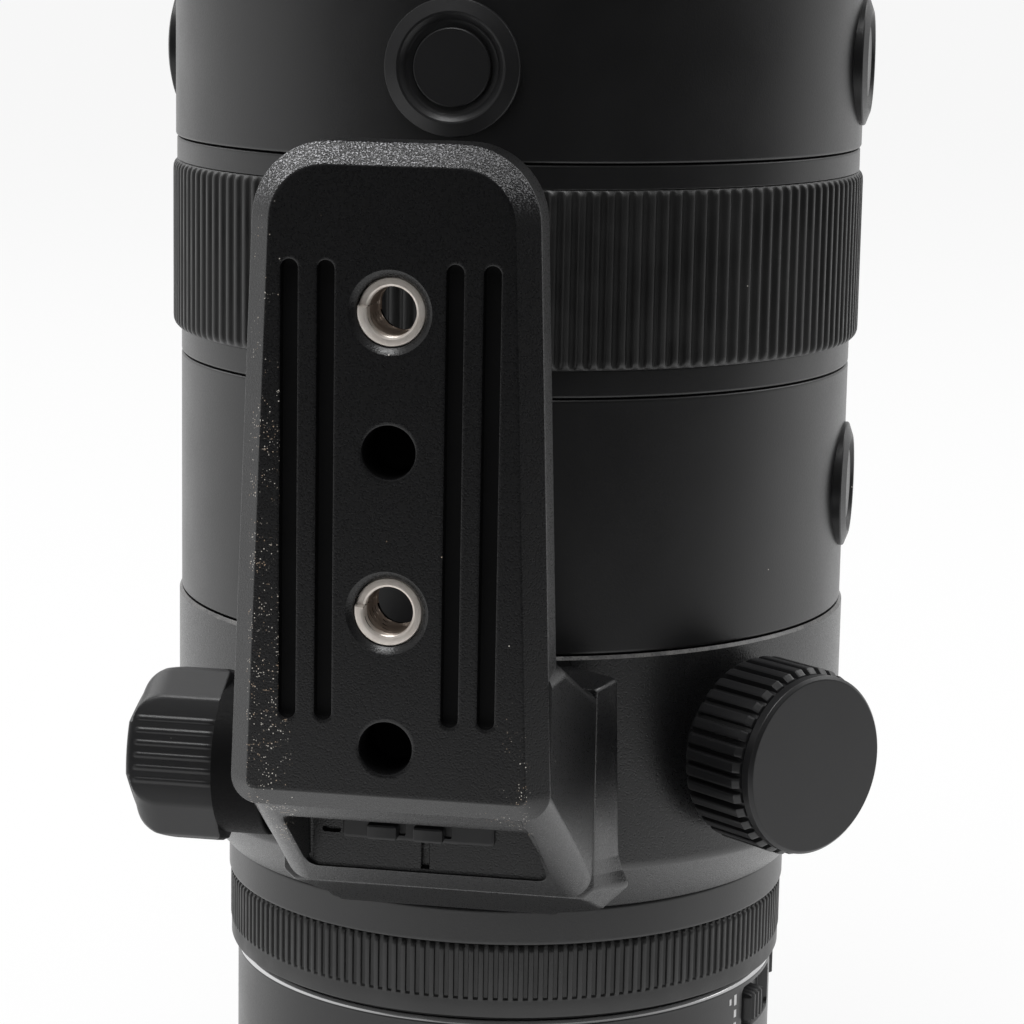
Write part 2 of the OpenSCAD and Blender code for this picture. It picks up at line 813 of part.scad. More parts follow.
// Front view of the head or of the skirt, both with bevelled lower corners
function pedestal_front(skirt) =
    let(half = pedestal_half_w + pedestal_flare + pedestal_skirt)
    let(low_half = half - pedestal_corner)
    let(z_low = z_collar + seam)
    let(z_wide = z_low + pedestal_corner)
    let(z_high = skirt ? z_low + pedestal_skirt_h : z_pedestal)
    let(top_half = skirt ? pedestal_half_w : half)
    [
        [-low_half, z_low], [low_half, z_low], [half, z_wide],
        [top_half, z_high], [-top_half, z_high], [-half, z_wide]
    ];

// The notch in the pedestal that the clamp knob's hub sits in and slides out of with the foot
module clamp_way() {
    way_y = clamp_y - clamp_hub_r - clamp_way_gap;
    way_w = pedestal_flare + pedestal_skirt + 1;
    z_low = z_collar - 1;
    translate([-pedestal_half_w - way_w, -pedestal_y - clamp_hub_r, z_low])
        cube([way_w, pedestal_y + clamp_hub_r - way_y, z_middle - z_low]);
}

module collar_lock_knob() {
    r_tip = lock_d / 2;
    color(rubber_black)
        outwards(lock_az, lock_z)
            translate([0, 0, lock_boss_y + lock_gap])
                difference() {
                    linear_extrude(height = lock_h)
                        polygon(rib_points(lock_ribs, r_tip - lock_rib_depth, r_tip));
                    translate([0, 0, -1]) cylinder(r = lock_screw_r + LITTLE, h = lock_screw_grip + 1);
                }
}

module collar_lock_cap() {
    cap_r = lock_d / 2 - lock_cap_margin;
    rim = 0.6;
    color(paint_black)
        outwards(lock_az, lock_z)
            translate([0, 0, lock_boss_y + lock_gap + lock_h])
                rotate_extrude($fn = DRUM)
                    polygon([
                        [0, 0], [cap_r, 0], [cap_r, lock_cap_t - rim],
                        [cap_r - rim, lock_cap_t], [0, lock_cap_t]
                    ]);
}

module collar_lock_screw() {
    color(steel)
        radial_pin(lock_az, lock_z, lock_screw_r, journal_r + lock_gap,
            lock_boss_y + lock_gap + lock_screw_grip);
}

// Tripod foot

// Outline of the foot plate in the XZ plane, drawn in by an inset
module foot_outline(inset) {
    rear_r_in = foot_rear_corner - min(inset, foot_rear_corner - 0.2);
    front_r_in = foot_front_corner - inset;
    hull() {
        for (s = [-1, 1]) {
            translate([s * (foot_rear_half - inset - rear_r_in), z_foot + inset + rear_r_in])
                circle(r = rear_r_in, $fn = 32);
            translate([s * (foot_front_half - foot_front_corner), z_foot_end - foot_front_corner])
                circle(r = front_r_in, $fn = 48);
        }
    }
}

// A slab of the foot plate between two distances from the axis
module foot_slab(inset, y0, y1) {
    rotate([90, 0, 0])
        translate([0, 0, y0])
            linear_extrude(height = y1 - y0)
                foot_outline(inset);
}

// Places children on the foot's face at a height, with local Z outwards
module on_foot(z) {
    translate([0, -foot_face_y, z])
        rotate([90, 0, 0])
            children();
}

// A block of the neck between two distances from the axis, with round corners in the XZ plane
module neck_block(half, y0, y1, z0, z1) {
    rotate([90, 0, 0])
        translate([0, 0, y0])
            linear_extrude(height = y1 - y0)
                hull()
                    for (s = [-1, 1])
                        for (z = [z0 + neck_corner, z1 - neck_corner])
                            translate([s * (half - neck_corner), z]) circle(r = neck_corner, $fn = 32);
}

module tripod_foot() {
    jaw_y = pedestal_y + dovetail_gap;
    color(paint_black)
        difference() {
            union() {
                hull() {
                    foot_slab(0, foot_top_y, foot_face_y - foot_bevel_h);
                    foot_slab(foot_bevel, foot_face_y - LITTLE, foot_face_y);
                }
                hull() {
                    neck_block(neck_half, jaw_y, jaw_y + neck_jaw_t, z_neck, z_pedestal);
                    neck_block(neck_top_half, foot_top_y, foot_top_y + neck_top_t, z_foot,
                        z_foot + neck_top_len);
                }
            }
            translate([0, 0, z_band + dovetail_stop])
                linear_extrude(height = z_foot_end - z_band)
                    dovetail_section(dovetail_gap);
            translate([-pocket_half, -foot_face_y, z_band])
                cube([2 * pocket_half, foot_face_y - pocket_y, z_pocket - z_band]);
            for (z = [z_thread_front, z_thread_rear])
                on_foot(z) {
                    translate([0, 0, -foot_t - 2]) cylinder(r = thread_r + 0.4, h = foot_t + 4);
                    translate([0, 0, -insert_len - insert_sink])
                        cylinder(r = insert_r + insert_gap, h = insert_len + insert_sink + 1);
                    translate([0, 0, -insert_sink])
                        cylinder(r1 = insert_r + insert_gap, r2 = insert_r + insert_rim,
                            h = insert_sink + LITTLE);
                }
            for (z = [z_thread_front - pin_hole_offset, z_thread_rear - pin_hole_offset])
                on_foot(z)
                    translate([0, 0, -pin_hole_depth]) cylinder(r = pin_hole_r, h = pin_hole_depth + 1);
            for (s = [-1, 1])
                for (x = groove_x)
                    foot_groove(s * x);
            translate([-neck_half - 1, -clamp_y, clamp_z])
                rotate([0, 90, 0])
                    cylinder(r = clamp_screw_r + clamp_gap, h = neck_half - dovetail_root);
        }
}

// One long groove with round ends in the foot's face
module foot_groove(x) {
    z1 = z_foot_end - groove_end;
    z0 = z1 - groove_len;
    translate([x - groove_w / 2, -foot_face_y - 1, z0])
        cube([groove_w, 1 + groove_depth, groove_len]);
    for (z = [z0, z1])
        on_foot(z)
            translate([x, 0, -groove_depth]) cylinder(r = groove_w / 2, h = groove_depth + 1, $fn = 32);
}

module foot_inserts() {
    mouth = 0.5;
    color(steel)
        for (z = [z_thread_front, z_thread_rear])
            on_foot(z)
                translate([0, 0, -foot_t])
                    rotate_extrude()
                        polygon([
                            [thread_r, 0], [insert_r, 0], [insert_r, insert_len],
                            [thread_r + mouth, insert_len], [thread_r, insert_len - mouth]
                        ]);
}

module foot_clamp_knob() {
    half_w = clamp_knob_w / 2;
    half_h = clamp_knob_h / 2;
    x_end = clamp_x + clamp_knob_len;
    color(rubber_black)
        difference() {
            union() {
                intersection() {
                    translate([-x_end, -clamp_y, clamp_z])
                        rotate([-clamp_turn, 0, 0])
                            rotate([90, 0, 90])
                                linear_extrude(height = clamp_knob_len)
                                    difference() {
                                        clamp_outline(half_w, half_h);
                                        clamp_groove_cuts(half_w);
                                    }
                    translate([clamp_dome_r - x_end, -clamp_y, clamp_z]) sphere(r = clamp_dome_r);
                }
                translate([-clamp_x - LITTLE, -clamp_y, clamp_z])
                    rotate([0, 90, 0])
                        cylinder(r = clamp_hub_r, h = clamp_hub_len - lock_gap);
            }
            translate([-clamp_x - clamp_knob_len / 2, -clamp_y, clamp_z])
                rotate([0, 90, 0])
                    cylinder(r = clamp_screw_r + LITTLE, h = clamp_knob_len + clamp_hub_len);
        }
}

// Eight-sided section of the clamp knob
module clamp_outline(half_w, half_h) {
    c = clamp_corner;
    polygon([
        [-half_w, -half_h + c], [-half_w + c, -half_h], [half_w - c, -half_h], [half_w, -half_h + c],
        [half_w, half_h - c], [half_w - c, half_h], [-half_w + c, half_h], [-half_w, half_h - c]
    ]);
}

// Grip grooves along both broad sides of the clamp knob
module clamp_groove_cuts(half_w) {
    for (s = [-1, 1])
        for (i = [0 : clamp_grooves - 1])
            translate([s * half_w, (i - (clamp_grooves - 1) / 2) * clamp_groove_pitch])
                square([2 * clamp_groove_depth, clamp_groove_pitch / 2], center = true);
}

module foot_clamp_screw() {
    tip_x = dovetail_root + dovetail_lean + dovetail_gap + clamp_gap;
    color(steel)
        translate([-clamp_x - clamp_knob_len / 2 + LITTLE, -clamp_y, clamp_z])
            rotate([0, 90, 0])
                cylinder(r = clamp_screw_r, h = clamp_x + clamp_knob_len / 2 - tip_x);
}

module foot_latch() {
    z_latch = z_pocket - latch_len - lock_gap;
    color(rubber_black) {
        translate([-latch_half, -pocket_y - latch_t, z_latch])
            cube([2 * latch_half, latch_t, latch_len]);
        for (x = latch_tab_x)
            translate([x, -pocket_y - latch_t - latch_tab_h, z_latch + lock_gap])
                cube([latch_tab_w, latch_tab_h + LITTLE, latch_tab_len]);
    }
}

// Function buttons and their bezels

// The pocket and the hole that a bezel and its button need in a barrel
module bezel_pocket(az, z, barrel_r) {
    radial_pin(az, z, bezel_d / 2 + bezel_pocket_gap, barrel_r - bezel_sink, barrel_r + 5);
    radial_pin(az, z, button_d / 2 + button_flange + button_gap, tube_middle_r - 2, barrel_r);
}

module bezel(az, z, barrel_r) {
    rise = bezel_sink + bezel_rise;
    bore_r = button_d / 2 + button_gap;
    edge = 0.4;
    outwards(az, z)
        translate([0, 0, barrel_r - bezel_sink])
            rotate_extrude()
                polygon([
                    [bore_r, 0], [bezel_d / 2, 0], [bezel_d / 2, rise - edge], [bezel_d / 2 - edge, rise],
                    [bore_r + dish_margin, rise], [bore_r, rise - dish_depth]
                ]);
}

// A button with a flange that the bezel keeps in
module button(az, z, barrel_r) {
    face_r = barrel_r + bezel_rise - button_drop;
    foot_r = barrel_r - bezel_sink;
    edge = 0.3;
    outwards(az, z)
        rotate_extrude()
            polygon([
                [0, foot_r - button_flange_t], [button_d / 2 + button_flange, foot_r - button_flange_t],
                [button_d / 2 + button_flange, foot_r], [button_d / 2, foot_r],
                [button_d / 2, face_r - edge], [button_d / 2 - edge, face_r], [0, face_r]
            ]);
}

module button_bezels() {
    color(paint_black) {
        for (i = [0 : 3])
            bezel(i * 90, z_front_buttons, button_barrel_r);
        bezel(function_az, z_display, middle_r);
    }
}

module front_button(i) { color(bodies_black) button(i * 90, z_front_buttons, button_barrel_r); }

module function_button() { color(bodies_black) button(function_az, z_display, middle_r); }

module middle_barrel() {
    color(bodies_black)
        difference() {
            tube(middle_r, tube_middle_r + fit_gap, z_middle, z_focus);
            bezel_pocket(function_az, z_display, middle_r);
            arc_wall(window_az, window_span, middle_r - window_t, middle_r + 1,
                z_display - window_h / 2, z_display + window_h / 2);
        }
}

module display_window() {
    edge_gap = 0.1;
    edge_angle = 0.1;
    color("#0b0d10")
        arc_wall(window_az, window_span - 2 * edge_angle, middle_r - window_t, middle_r,
            z_display - window_h / 2 + edge_gap, z_display + window_h / 2 - edge_gap);
}

module button_barrel() {
    color(bodies_black)
        difference() {
            tube(button_barrel_r, tube_front_r + fit_gap, z_button, z_zoom);
            for (i = [0 : 3])
                bezel_pocket(i * 90, z_front_buttons, button_barrel_r);
        }
}

// Focus ring, zoom ring and their rubber grips

focus_front_drop = 0.5;
focus_rear_drop = 1.05;
zoom_lip_drop = 0.6;
focus_lip_r = focus_r - focus_front_drop;
focus_rear_lip_r = focus_r - focus_rear_drop;
zoom_lip_r = zoom_r - zoom_lip_drop;

// A ring with two lips and a seat for its grip between them
module grip_ring(rear_lip_r, front_lip_r, seat_r, z0, z1, rear_lip, front_lip) {
    r_in = tube_front_r + run_gap;
    rotate_extrude($fn = DRUM)
        polygon([
            [r_in, z0], [rear_lip_r, z0], [rear_lip_r, z0 + rear_lip], [seat_r, z0 + rear_lip],
            [seat_r, z1 - front_lip], [front_lip_r, z1 - front_lip], [front_lip_r, z1], [r_in, z1]
        ]);
}

function focus_seat_r() = focus_rear_lip_r - grip_seat;
function zoom_seat_r() = zoom_lip_r - grip_seat;

module focus_ring() {
    color(bodies_black)
        grip_ring(focus_rear_lip_r, focus_lip_r, focus_seat_r(), z_focus + seam, z_button - seam,
            focus_rear_lip, focus_front_lip);
}

module focus_grip() {
    color(rubber_black)
        ribbed_ring(focus_ribs, focus_r - grip_rib_depth, focus_r, focus_seat_r() + fit_gap,
            z_focus + seam + focus_rear_lip + fit_gap, z_button - seam - focus_front_lip - fit_gap);
}

module zoom_ring() {
    color(bodies_black)
        difference() {
            grip_ring(zoom_lip_r, zoom_lip_r, zoom_seat_r(), z_zoom + seam, z_front - seam,
                zoom_lip, zoom_lip);
            radial_pin(key_az, z_key, key_r + LITTLE, tube_front_r - 1, zoom_seat_r() - 0.4);
        }
}

module zoom_grip() {
    color(rubber_black)
        ribbed_ring(zoom_ribs, zoom_r - grip_rib_depth, zoom_r, zoom_seat_r() + fit_gap,
            z_zoom + seam + zoom_lip + fit_gap, z_front - seam - zoom_lip - fit_gap);
}

module zoom_key() {
    color(steel)
        radial_pin(key_az, z_key, key_r, cam_bore_r + 0.3, zoom_seat_r() - 0.5);
}

// Front of the lens

module front_barrel() {
    hood_z = z_end - 5.6;
    hood_h = 2.6;
    hood_depth = 0.9;
    entry_span = 18;
    track_span = 38;
    color(bodies_black)
        difference() {
            tube(front_r, tube_front_r + fit_gap, z_front, z_end);
            for (i = [0 : 3]) {
                arc_wall(45 + i * 90, entry_span, front_r - hood_depth, front_r + 1, hood_z, z_end + 1);
                arc_wall(45 + i * 90 + track_span / 2, track_span, front_r - hood_depth, front_r + 1,
                    hood_z, hood_z + hood_h);
            }
        }
}

filter_lip_t = 0.6;
filter_lip_in = 1.2;
ledge_w = 1.6;

module filter_ring() {
    z_face = z_end + filter_lip_t;
    color(paint_black)
        rotate_extrude($fn = DRUM)
            polygon([
                [filter_r - ledge_w, z_tube_end], [tube_front_r, z_tube_end], [tube_front_r, z_end],
                [front_r - filter_lip_in, z_end], [front_r - filter_lip_in, z_face], [filter_r, z_face],
                [filter_r, z_face - filter_h], [filter_r - ledge_w, z_face - filter_h]
            ]);
}

function front_seat_r() = front_bore_r - front_cell_wall;
function front_glass_r() = front_seat_r() - glass_gap;
function front_glass_z() = z_tube_end - front_glass_t - front_glass_gap;
front_ledge_t = 1;
front_ledge_in = 1.8;

module front_cell() {
    seat_r = front_seat_r();
    ledge_z = front_glass_z();
    color(inner_black)
        rotate_extrude($fn = DRUM)
            polygon([
                [seat_r - 1, z_front_cell], [front_bore_r - fit_gap, z_front_cell],
                [front_bore_r - fit_gap, z_tube_end], [seat_r, z_tube_end], [seat_r, ledge_z],
                [seat_r - front_ledge_in, ledge_z], [seat_r - front_ledge_in, ledge_z - front_ledge_t],
                [seat_r - 1, ledge_z - front_ledge_t]
            ]);
}

module front_glass() {
    color(glass_tint, 0.4)
        lens(front_glass_r(), front_glass_z(), front_glass_z() + front_glass_t,
            front_bulge[0], front_bulge[1]);
}

// Zoom cells and the cam tube that drives them

// A helical slot through the cam tube: the follower at an azimuth climbs by rise while the tube turns
module cam_slot(az, z0, rise) {
    slope = cam_r * zoom_turn * PI / 180 / abs(rise);
    width = 2 * (follower_r + follower_gap) * sqrt(1 + pow(slope, 2));
    over = (follower_r + follower_gap) * 1.1 + width / slope / 4;
    low = min(z0, z0 + rise) - over;
    high = max(z0, z0 + rise) + over;
    turn_per_mm = -zoom_turn / rise;
    start = az - 90 + (low - z0) * turn_per_mm;
    translate([0, 0, low])
        rotate([0, 0, start])
            linear_extrude(height = high - low, twist = -(high - low) * turn_per_mm, slices = 28, $fn = 8)
                translate([cam_bore_r - 1, -width / 2]) square([cam_wall + 2, width]);
}

module cam_tube() {
    color("#8a7a4a")
        difference() {
            tube(cam_r, cam_bore_r, z_cam, z_cam_end);
            for (az = follower_az) {
                cam_slot(az, z_variator, -variator_travel);
                cam_slot(az, z_compensator, compensator_travel);
            }
            radial_pin(key_az, z_key, key_r + LITTLE, cam_bore_r - 1, cam_r + 1);
        }
}

// A lens cell with three followers that reach through the cam slots into the tube's guides
module zoom_cell(z_mid) {
    lip = cell_lip;
    glass_r = zoom_glass_r();
    rotate_extrude($fn = DRUM)
        polygon([
            [glass_r - lip, z_mid - cell_h / 2], [cell_r, z_mid - cell_h / 2], [cell_r, z_mid + cell_h / 2],
            [glass_r + fit_gap, z_mid + cell_h / 2], [glass_r + fit_gap, z_mid - cell_h / 2 + lip],
            [glass_r - lip, z_mid - cell_h / 2 + lip]
        ]);
    for (az = follower_az)
        radial_pin(az, z_mid, follower_r, cell_r - cell_wall / 2, follower_tip_r);
}

function zoom_glass_r() = cell_r - cell_wall;

module variator_cell() { color(inner_black) zoom_cell(z_variator); }

module variator_glass() {
    z0 = z_variator - cell_h / 2 + cell_lip + seat_rise(zoom_glass_r(), cell_lip, variator_bulge[0]);
    color(glass_tint, 0.4)
        lens(zoom_glass_r(), z0, z0 + variator_glass_t, variator_bulge[0], variator_bulge[1]);
}

module compensator_cell() { color(inner_black) zoom_cell(z_compensator); }

module compensator_glass() {
    z0 = z_compensator - cell_h / 2 + cell_lip + seat_rise(zoom_glass_r(), cell_lip, compensator_bulge[0]);
    color(glass_tint, 0.4)
        lens(zoom_glass_r(), z0, z0 + compensator_glass_t, compensator_bulge[0], compensator_bulge[1]);
}

// Iris

module iris_housing() {
    color(inner_black)
        difference() {
            rotate_extrude($fn = DRUM)
                polygon([
                    [iris_r, z_iris], [iris_outer_r, z_iris], [iris_outer_r, z_front_bore],
                    [front_bore_r - fit_gap, z_front_bore],
                    [front_bore_r - fit_gap, z_front_bore + iris_flange_t],
                    [iris_inner_r, z_front_bore + iris_flange_t], [iris_inner_r, z_iris + iris_base_t],
                    [iris_r, z_iris + iris_base_t]
                ]);
            for (i = [0 : iris_blades - 1])
                rotate([0, 0, i * 360 / iris_blades])
                    translate([blade_pivot_r, 0, z_iris - 1])
                        cylinder(r = blade_pin_r + blade_pin_gap, h = iris_base_t + 2, $fn = 32);
        }
}

module iris_ring() {
    slot_half = blade_pin_r + drive_slot_gap;
    slot_reach = [blade_drive_r - 1.2, blade_drive_r + 0.3];
    color("#4a4a4c")
        difference() {
            tube(iris_ring_out_r, iris_ring_in_r, z_iris_ring, z_iris_ring + iris_ring_t);
            for (i = [0 : iris_blades - 1])
                rotate([0, 0, i * 360 / iris_blades]) {
                    translate([slot_reach[0], -slot_half, z_iris_ring - 1])
                        cube([slot_reach[1] - slot_reach[0], 2 * slot_half, iris_ring_t + 2]);
                    for (r = slot_reach)
                        translate([r, 0, z_iris_ring - 1])
                            cylinder(r = slot_half, h = iris_ring_t + 2, $fn = 32);
                }
        }
}

// One crescent blade on its own level, with a pivot pin below it and a drive pin above it
module iris_blade(i) {
    z = z_blades + i * blade_step;
    color("#3a3a3c")
        rotate([0, 0, i * 360 / iris_blades]) {
            translate([0, 0, z])
                rotate_extrude(angle = blade_span, $fn = DRUM)
                    polygon([
                        [blade_in_r, 0], [blade_out_r, 0], [blade_out_r, blade_t], [blade_in_r, blade_t]
                    ]);
            translate([blade_in_r, -blade_lug_r, z])
                cube([blade_drive_r - blade_in_r, 2 * blade_lug_r, blade_t]);
            translate([blade_pivot_r, 0, z_iris + 0.2])
                cylinder(r = blade_pin_r, h = z + blade_t - z_iris - 0.2, $fn = 32);
            translate([blade_drive_r, 0, z])
                cylinder(r = blade_pin_r, h = z_iris_ring + iris_ring_t - 0.2 - z, $fn = 32);
        }
}

// Focus group, which a flat coil on each side drives along two bars

module focus_cell() {
    ear_half = 4;
    ear_end = bar_y + bar_r + 1.8;
    lip = focus_lip;
    pad_h = focus_cell_h - 2 * focus_lip;
    color(inner_black)
        difference() {
            union() {
                rotate_extrude($fn = DRUM)
                    polygon([
                        [focus_glass_r - lip, z_focus_cell], [focus_cell_r, z_focus_cell],
                        [focus_cell_r, z_focus_cell + focus_cell_h],
                        [focus_glass_r + fit_gap, z_focus_cell + focus_cell_h],
                        [focus_glass_r + fit_gap, z_focus_cell + lip],
                        [focus_glass_r - lip, z_focus_cell + lip]
                    ]);
                for (s = [-1, 1])
                    translate([-ear_half, s > 0 ? focus_cell_r - 0.6 : -ear_end, z_focus_cell + focus_lip])
                        cube([2 * ear_half, ear_end - focus_cell_r + 0.6, pad_h]);
                for (s = [-1, 1])
                    translate([
                        s > 0 ? focus_cell_r - 1.7 : -focus_cell_r - coil_seat, -coil_half,
                        z_focus_cell + focus_lip
                    ])
                        cube([coil_seat + 1.7, 2 * coil_half, pad_h]);
            }
            translate([0, 0, z_focus_cell + lip])
                cylinder(r = focus_glass_r + fit_gap, h = focus_cell_h, $fn = DRUM);
            for (s = [-1, 1])
                translate([0, s * bar_y, z_focus_cell - 1])
                    cylinder(r = bar_r + bar_gap, h = focus_cell_h + 2);
        }
}

module focus_glass() {
    z0 = z_focus_cell + focus_lip + seat_rise(focus_glass_r, focus_lip, focus_bulge[0]);
    color(glass_tint, 0.4)
        lens(focus_glass_r, z0, z0 + focus_glass_t, focus_bulge[0], focus_bulge[1]);
}

module focus_coils() {
    pad_h = focus_cell_h - 2 * focus_lip;
    turn_w = 2;
    color("#a3622c")
        for (s = [-1, 1])
            translate([
                s > 0 ? focus_cell_r + coil_seat : -focus_cell_r - coil_seat - coil_t, 0,
                z_focus_cell + focus_lip
            ])
                difference() {
                    translate([0, -coil_half, 0]) cube([coil_t, 2 * coil_half, pad_h]);
                    translate([-1, -coil_half + turn_w, turn_w])
                        cube([coil_t + 2, 2 * (coil_half - turn_w), pad_h - 2 * turn_w]);
                }
}

module focus_magnets() {
    inner_x = focus_cell_r + coil_seat + coil_t + coil_gap;
    color(steel)
        for (s = [-1, 1])
            translate([s > 0 ? inner_x : -inner_x - magnet_t, -magnet_half, z_rear_cell_top])
                cube([magnet_t, 2 * magnet_half, z_iris - z_rear_cell_top]);
}

module guide_bars() {
    color(steel)
        for (s = [-1, 1])
            translate([0, s * bar_y, z_rear_cell_top])
                cylinder(r = bar_r, h = z_iris - z_rear_cell_top);
}

// Fixed rear group

module rear_cell() {
    seat_r = rear_glass_r + fit_gap;
    lip = cell_lip;
    z0 = z_journal_bore - rear_cell_h;
    color(inner_black)
        rotate_extrude($fn = DRUM)
            polygon([
                [seat_r - lip, z0], [seat_r + rear_cell_wall, z0],
                [seat_r + rear_cell_wall, z_journal_bore],
                [journal_bore_r - fit_gap, z_journal_bore], [journal_bore_r - fit_gap, z_rear_cell_top],
                [seat_r, z_rear_cell_top], [seat_r, z0 + lip], [seat_r - lip, z0 + lip]
            ]);
}

module rear_glass() {
    z0 = z_journal_bore - rear_cell_h + cell_lip + seat_rise(rear_glass_r, cell_lip, rear_bulge[0]);
    color(glass_tint, 0.4) lens(rear_glass_r, z0, z0 + rear_glass_t, rear_bulge[0], rear_bulge[1]);
}

mount_ring();
mount_screws();
mount_gasket();
rear_baffle();
contact_block();
contact_pins();
rear_barrel();
limit_switch();
mode_switch();
control_ring();
collar_retainer();
main_tube();
collar_ring();
collar_lock_knob();
collar_lock_cap();
collar_lock_screw();
tripod_foot();
foot_inserts();
foot_clamp_knob();
foot_clamp_screw();
foot_latch();
middle_barrel();
display_window();
button_bezels();
function_button();
focus_ring();
focus_grip();
button_barrel();
for (i = [0 : 3])
    front_button(i);
zoom_ring();
zoom_grip();
zoom_key();
front_barrel();
filter_ring();
front_cell();
front_glass();
cam_tube();
variator_cell();
variator_glass();
compensator_cell();
compensator_glass();
iris_housing();
iris_ring();
for (i = [0 : iris_blades - 1])
    iris_blade(i);
focus_cell();
focus_glass();
focus_coils();
focus_magnets();
guide_bars();
rear_cell();
rear_glass();
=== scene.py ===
"""Looks of the zoom lens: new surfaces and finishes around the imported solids, on a white stage."""

from math import cos, pi, radians, sin

import bmesh
import bpy
import numpy as np
from bpy.props import FloatProperty, FloatVectorProperty, IntProperty, PointerProperty
from mathutils import Matrix, Vector
from mathutils.geometry import tessellate_polygon


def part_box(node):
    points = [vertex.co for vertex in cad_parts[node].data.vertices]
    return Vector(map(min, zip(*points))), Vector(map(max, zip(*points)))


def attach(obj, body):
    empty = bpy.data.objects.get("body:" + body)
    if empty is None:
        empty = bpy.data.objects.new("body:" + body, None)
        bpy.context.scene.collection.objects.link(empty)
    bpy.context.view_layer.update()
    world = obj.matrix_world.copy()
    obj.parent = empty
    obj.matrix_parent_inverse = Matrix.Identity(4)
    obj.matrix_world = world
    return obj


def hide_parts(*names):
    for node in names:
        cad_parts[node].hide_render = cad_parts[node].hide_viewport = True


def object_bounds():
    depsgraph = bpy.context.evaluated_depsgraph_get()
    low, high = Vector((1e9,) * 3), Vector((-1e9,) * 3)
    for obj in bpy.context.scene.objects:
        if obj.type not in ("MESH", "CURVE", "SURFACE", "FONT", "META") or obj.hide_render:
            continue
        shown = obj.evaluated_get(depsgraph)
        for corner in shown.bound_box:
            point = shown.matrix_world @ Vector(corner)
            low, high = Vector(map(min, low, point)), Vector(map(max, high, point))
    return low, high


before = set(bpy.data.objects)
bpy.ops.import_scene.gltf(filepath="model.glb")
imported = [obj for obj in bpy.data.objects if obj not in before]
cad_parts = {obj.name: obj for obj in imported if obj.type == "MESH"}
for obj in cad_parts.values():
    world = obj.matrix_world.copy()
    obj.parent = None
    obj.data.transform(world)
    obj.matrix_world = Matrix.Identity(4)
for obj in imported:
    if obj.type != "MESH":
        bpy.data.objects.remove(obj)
CAD_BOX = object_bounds()

bl_info = {
    "name": "Zoom lens looks",
    "version": (1, 0, 0),
    "blender": (4, 5, 0),
    "location": "View3D > Sidebar > Lens",
    "description": "Dresses the packed zoom lens with detailed surfaces and procedural finishes",
    "category": "Add Mesh",
}

MM = 0.001
ROUND = 256

# Points closer than the first, and edges shorter than the second, are closed up, in metres
WELD, SLIVER = 2e-6, 1e-7

# Stations of the collar and the foot in millimetres
BAND, GROOVE_FROM = 45.6, 52.0
PEDESTAL_FACE, PEDESTAL_TOP = 51.0, 70.7
PEDESTAL_LEFT, PEDESTAL_RIGHT, PEDESTAL_EDGE, PEDESTAL_FLARE = 17.4, 19.5, 21.6, 2.3
LOCK_AZIMUTH, LOCK_HEIGHT, LOCK_RADIUS = 50, 59.5, 11.3
FOOT_FACE, FOOT_BACK, FOOT_REAR, FOOT_FRONT = 75.0, 67.0, 60.8, 133.9
THREADS, PIN_HOLES = (116.1, 83.6), (101.1, 68.6)
PIN_RADIUS, PIN_FLOOR = 2.9, FOOT_FACE - 7.6
JAW, NECK_LOW, NECK_HIGH, NECK_TIP = 52.8, 46.3, 77.3, 72.6
POCKET_FLOOR, POCKET_LOW, POCKET_TOP, POCKET_LEFT, POCKET_RIGHT = 56.4, 49.2, 58.6, 12.9, 15.2

# Radii of the bores of the rings in millimetres
SHELL_BORE, CONTROL_BORE, COLLAR_BORE = 33.05, 33.2, 33.15
MIDDLE_BORE, FRONT_BORE, GRIP_BORE = 39.55, 41.05, 41.15

# Switches with their bodies, and their travel in degrees
SWITCHES = {"limit_switch": "limit_slider", "mode_switch": "mode_slider"}
SWITCH_TRAVEL = 9


class LensRibs(bpy.types.PropertyGroup):
    """Counts of the moulded ribs."""

    focus: IntProperty(
        name="Focus ring ribs", description="Ribs round the focus grip", default=162, min=60)
    zoom: IntProperty(
        name="Zoom ring ribs", description="Ribs round the zoom grip", default=108, min=40)
    control: IntProperty(
        name="Control ring ribs", description="Ribs round the control ring", default=186, min=60)
    lock: IntProperty(
        name="Lock knob ribs", description="Ribs round the collar's lock knob", default=36, min=12)
    clamp: IntProperty(
        name="Clamp knob lines", description="Raised lines on each broad side", default=6, min=2)


class LensSizes(bpy.types.PropertyGroup):
    """Small sizes that the solids leave plain."""

    groove_depth: FloatProperty(
        name="Groove depth", description="Depth of the foot's long grooves",
        default=0.0011, unit="LENGTH")
    thread_pitch: FloatProperty(
        name="Tripod thread pitch", description="Pitch of the wire thread inserts",
        default=0.00127, unit="LENGTH")
    filter_pitch: FloatProperty(
        name="Filter thread pitch", description="Pitch of the filter thread",
        default=0.00075, unit="LENGTH")
    edge: FloatProperty(
        name="Edge radius", description="Radius of the barrels' turned edges",
        default=0.0003, unit="LENGTH")


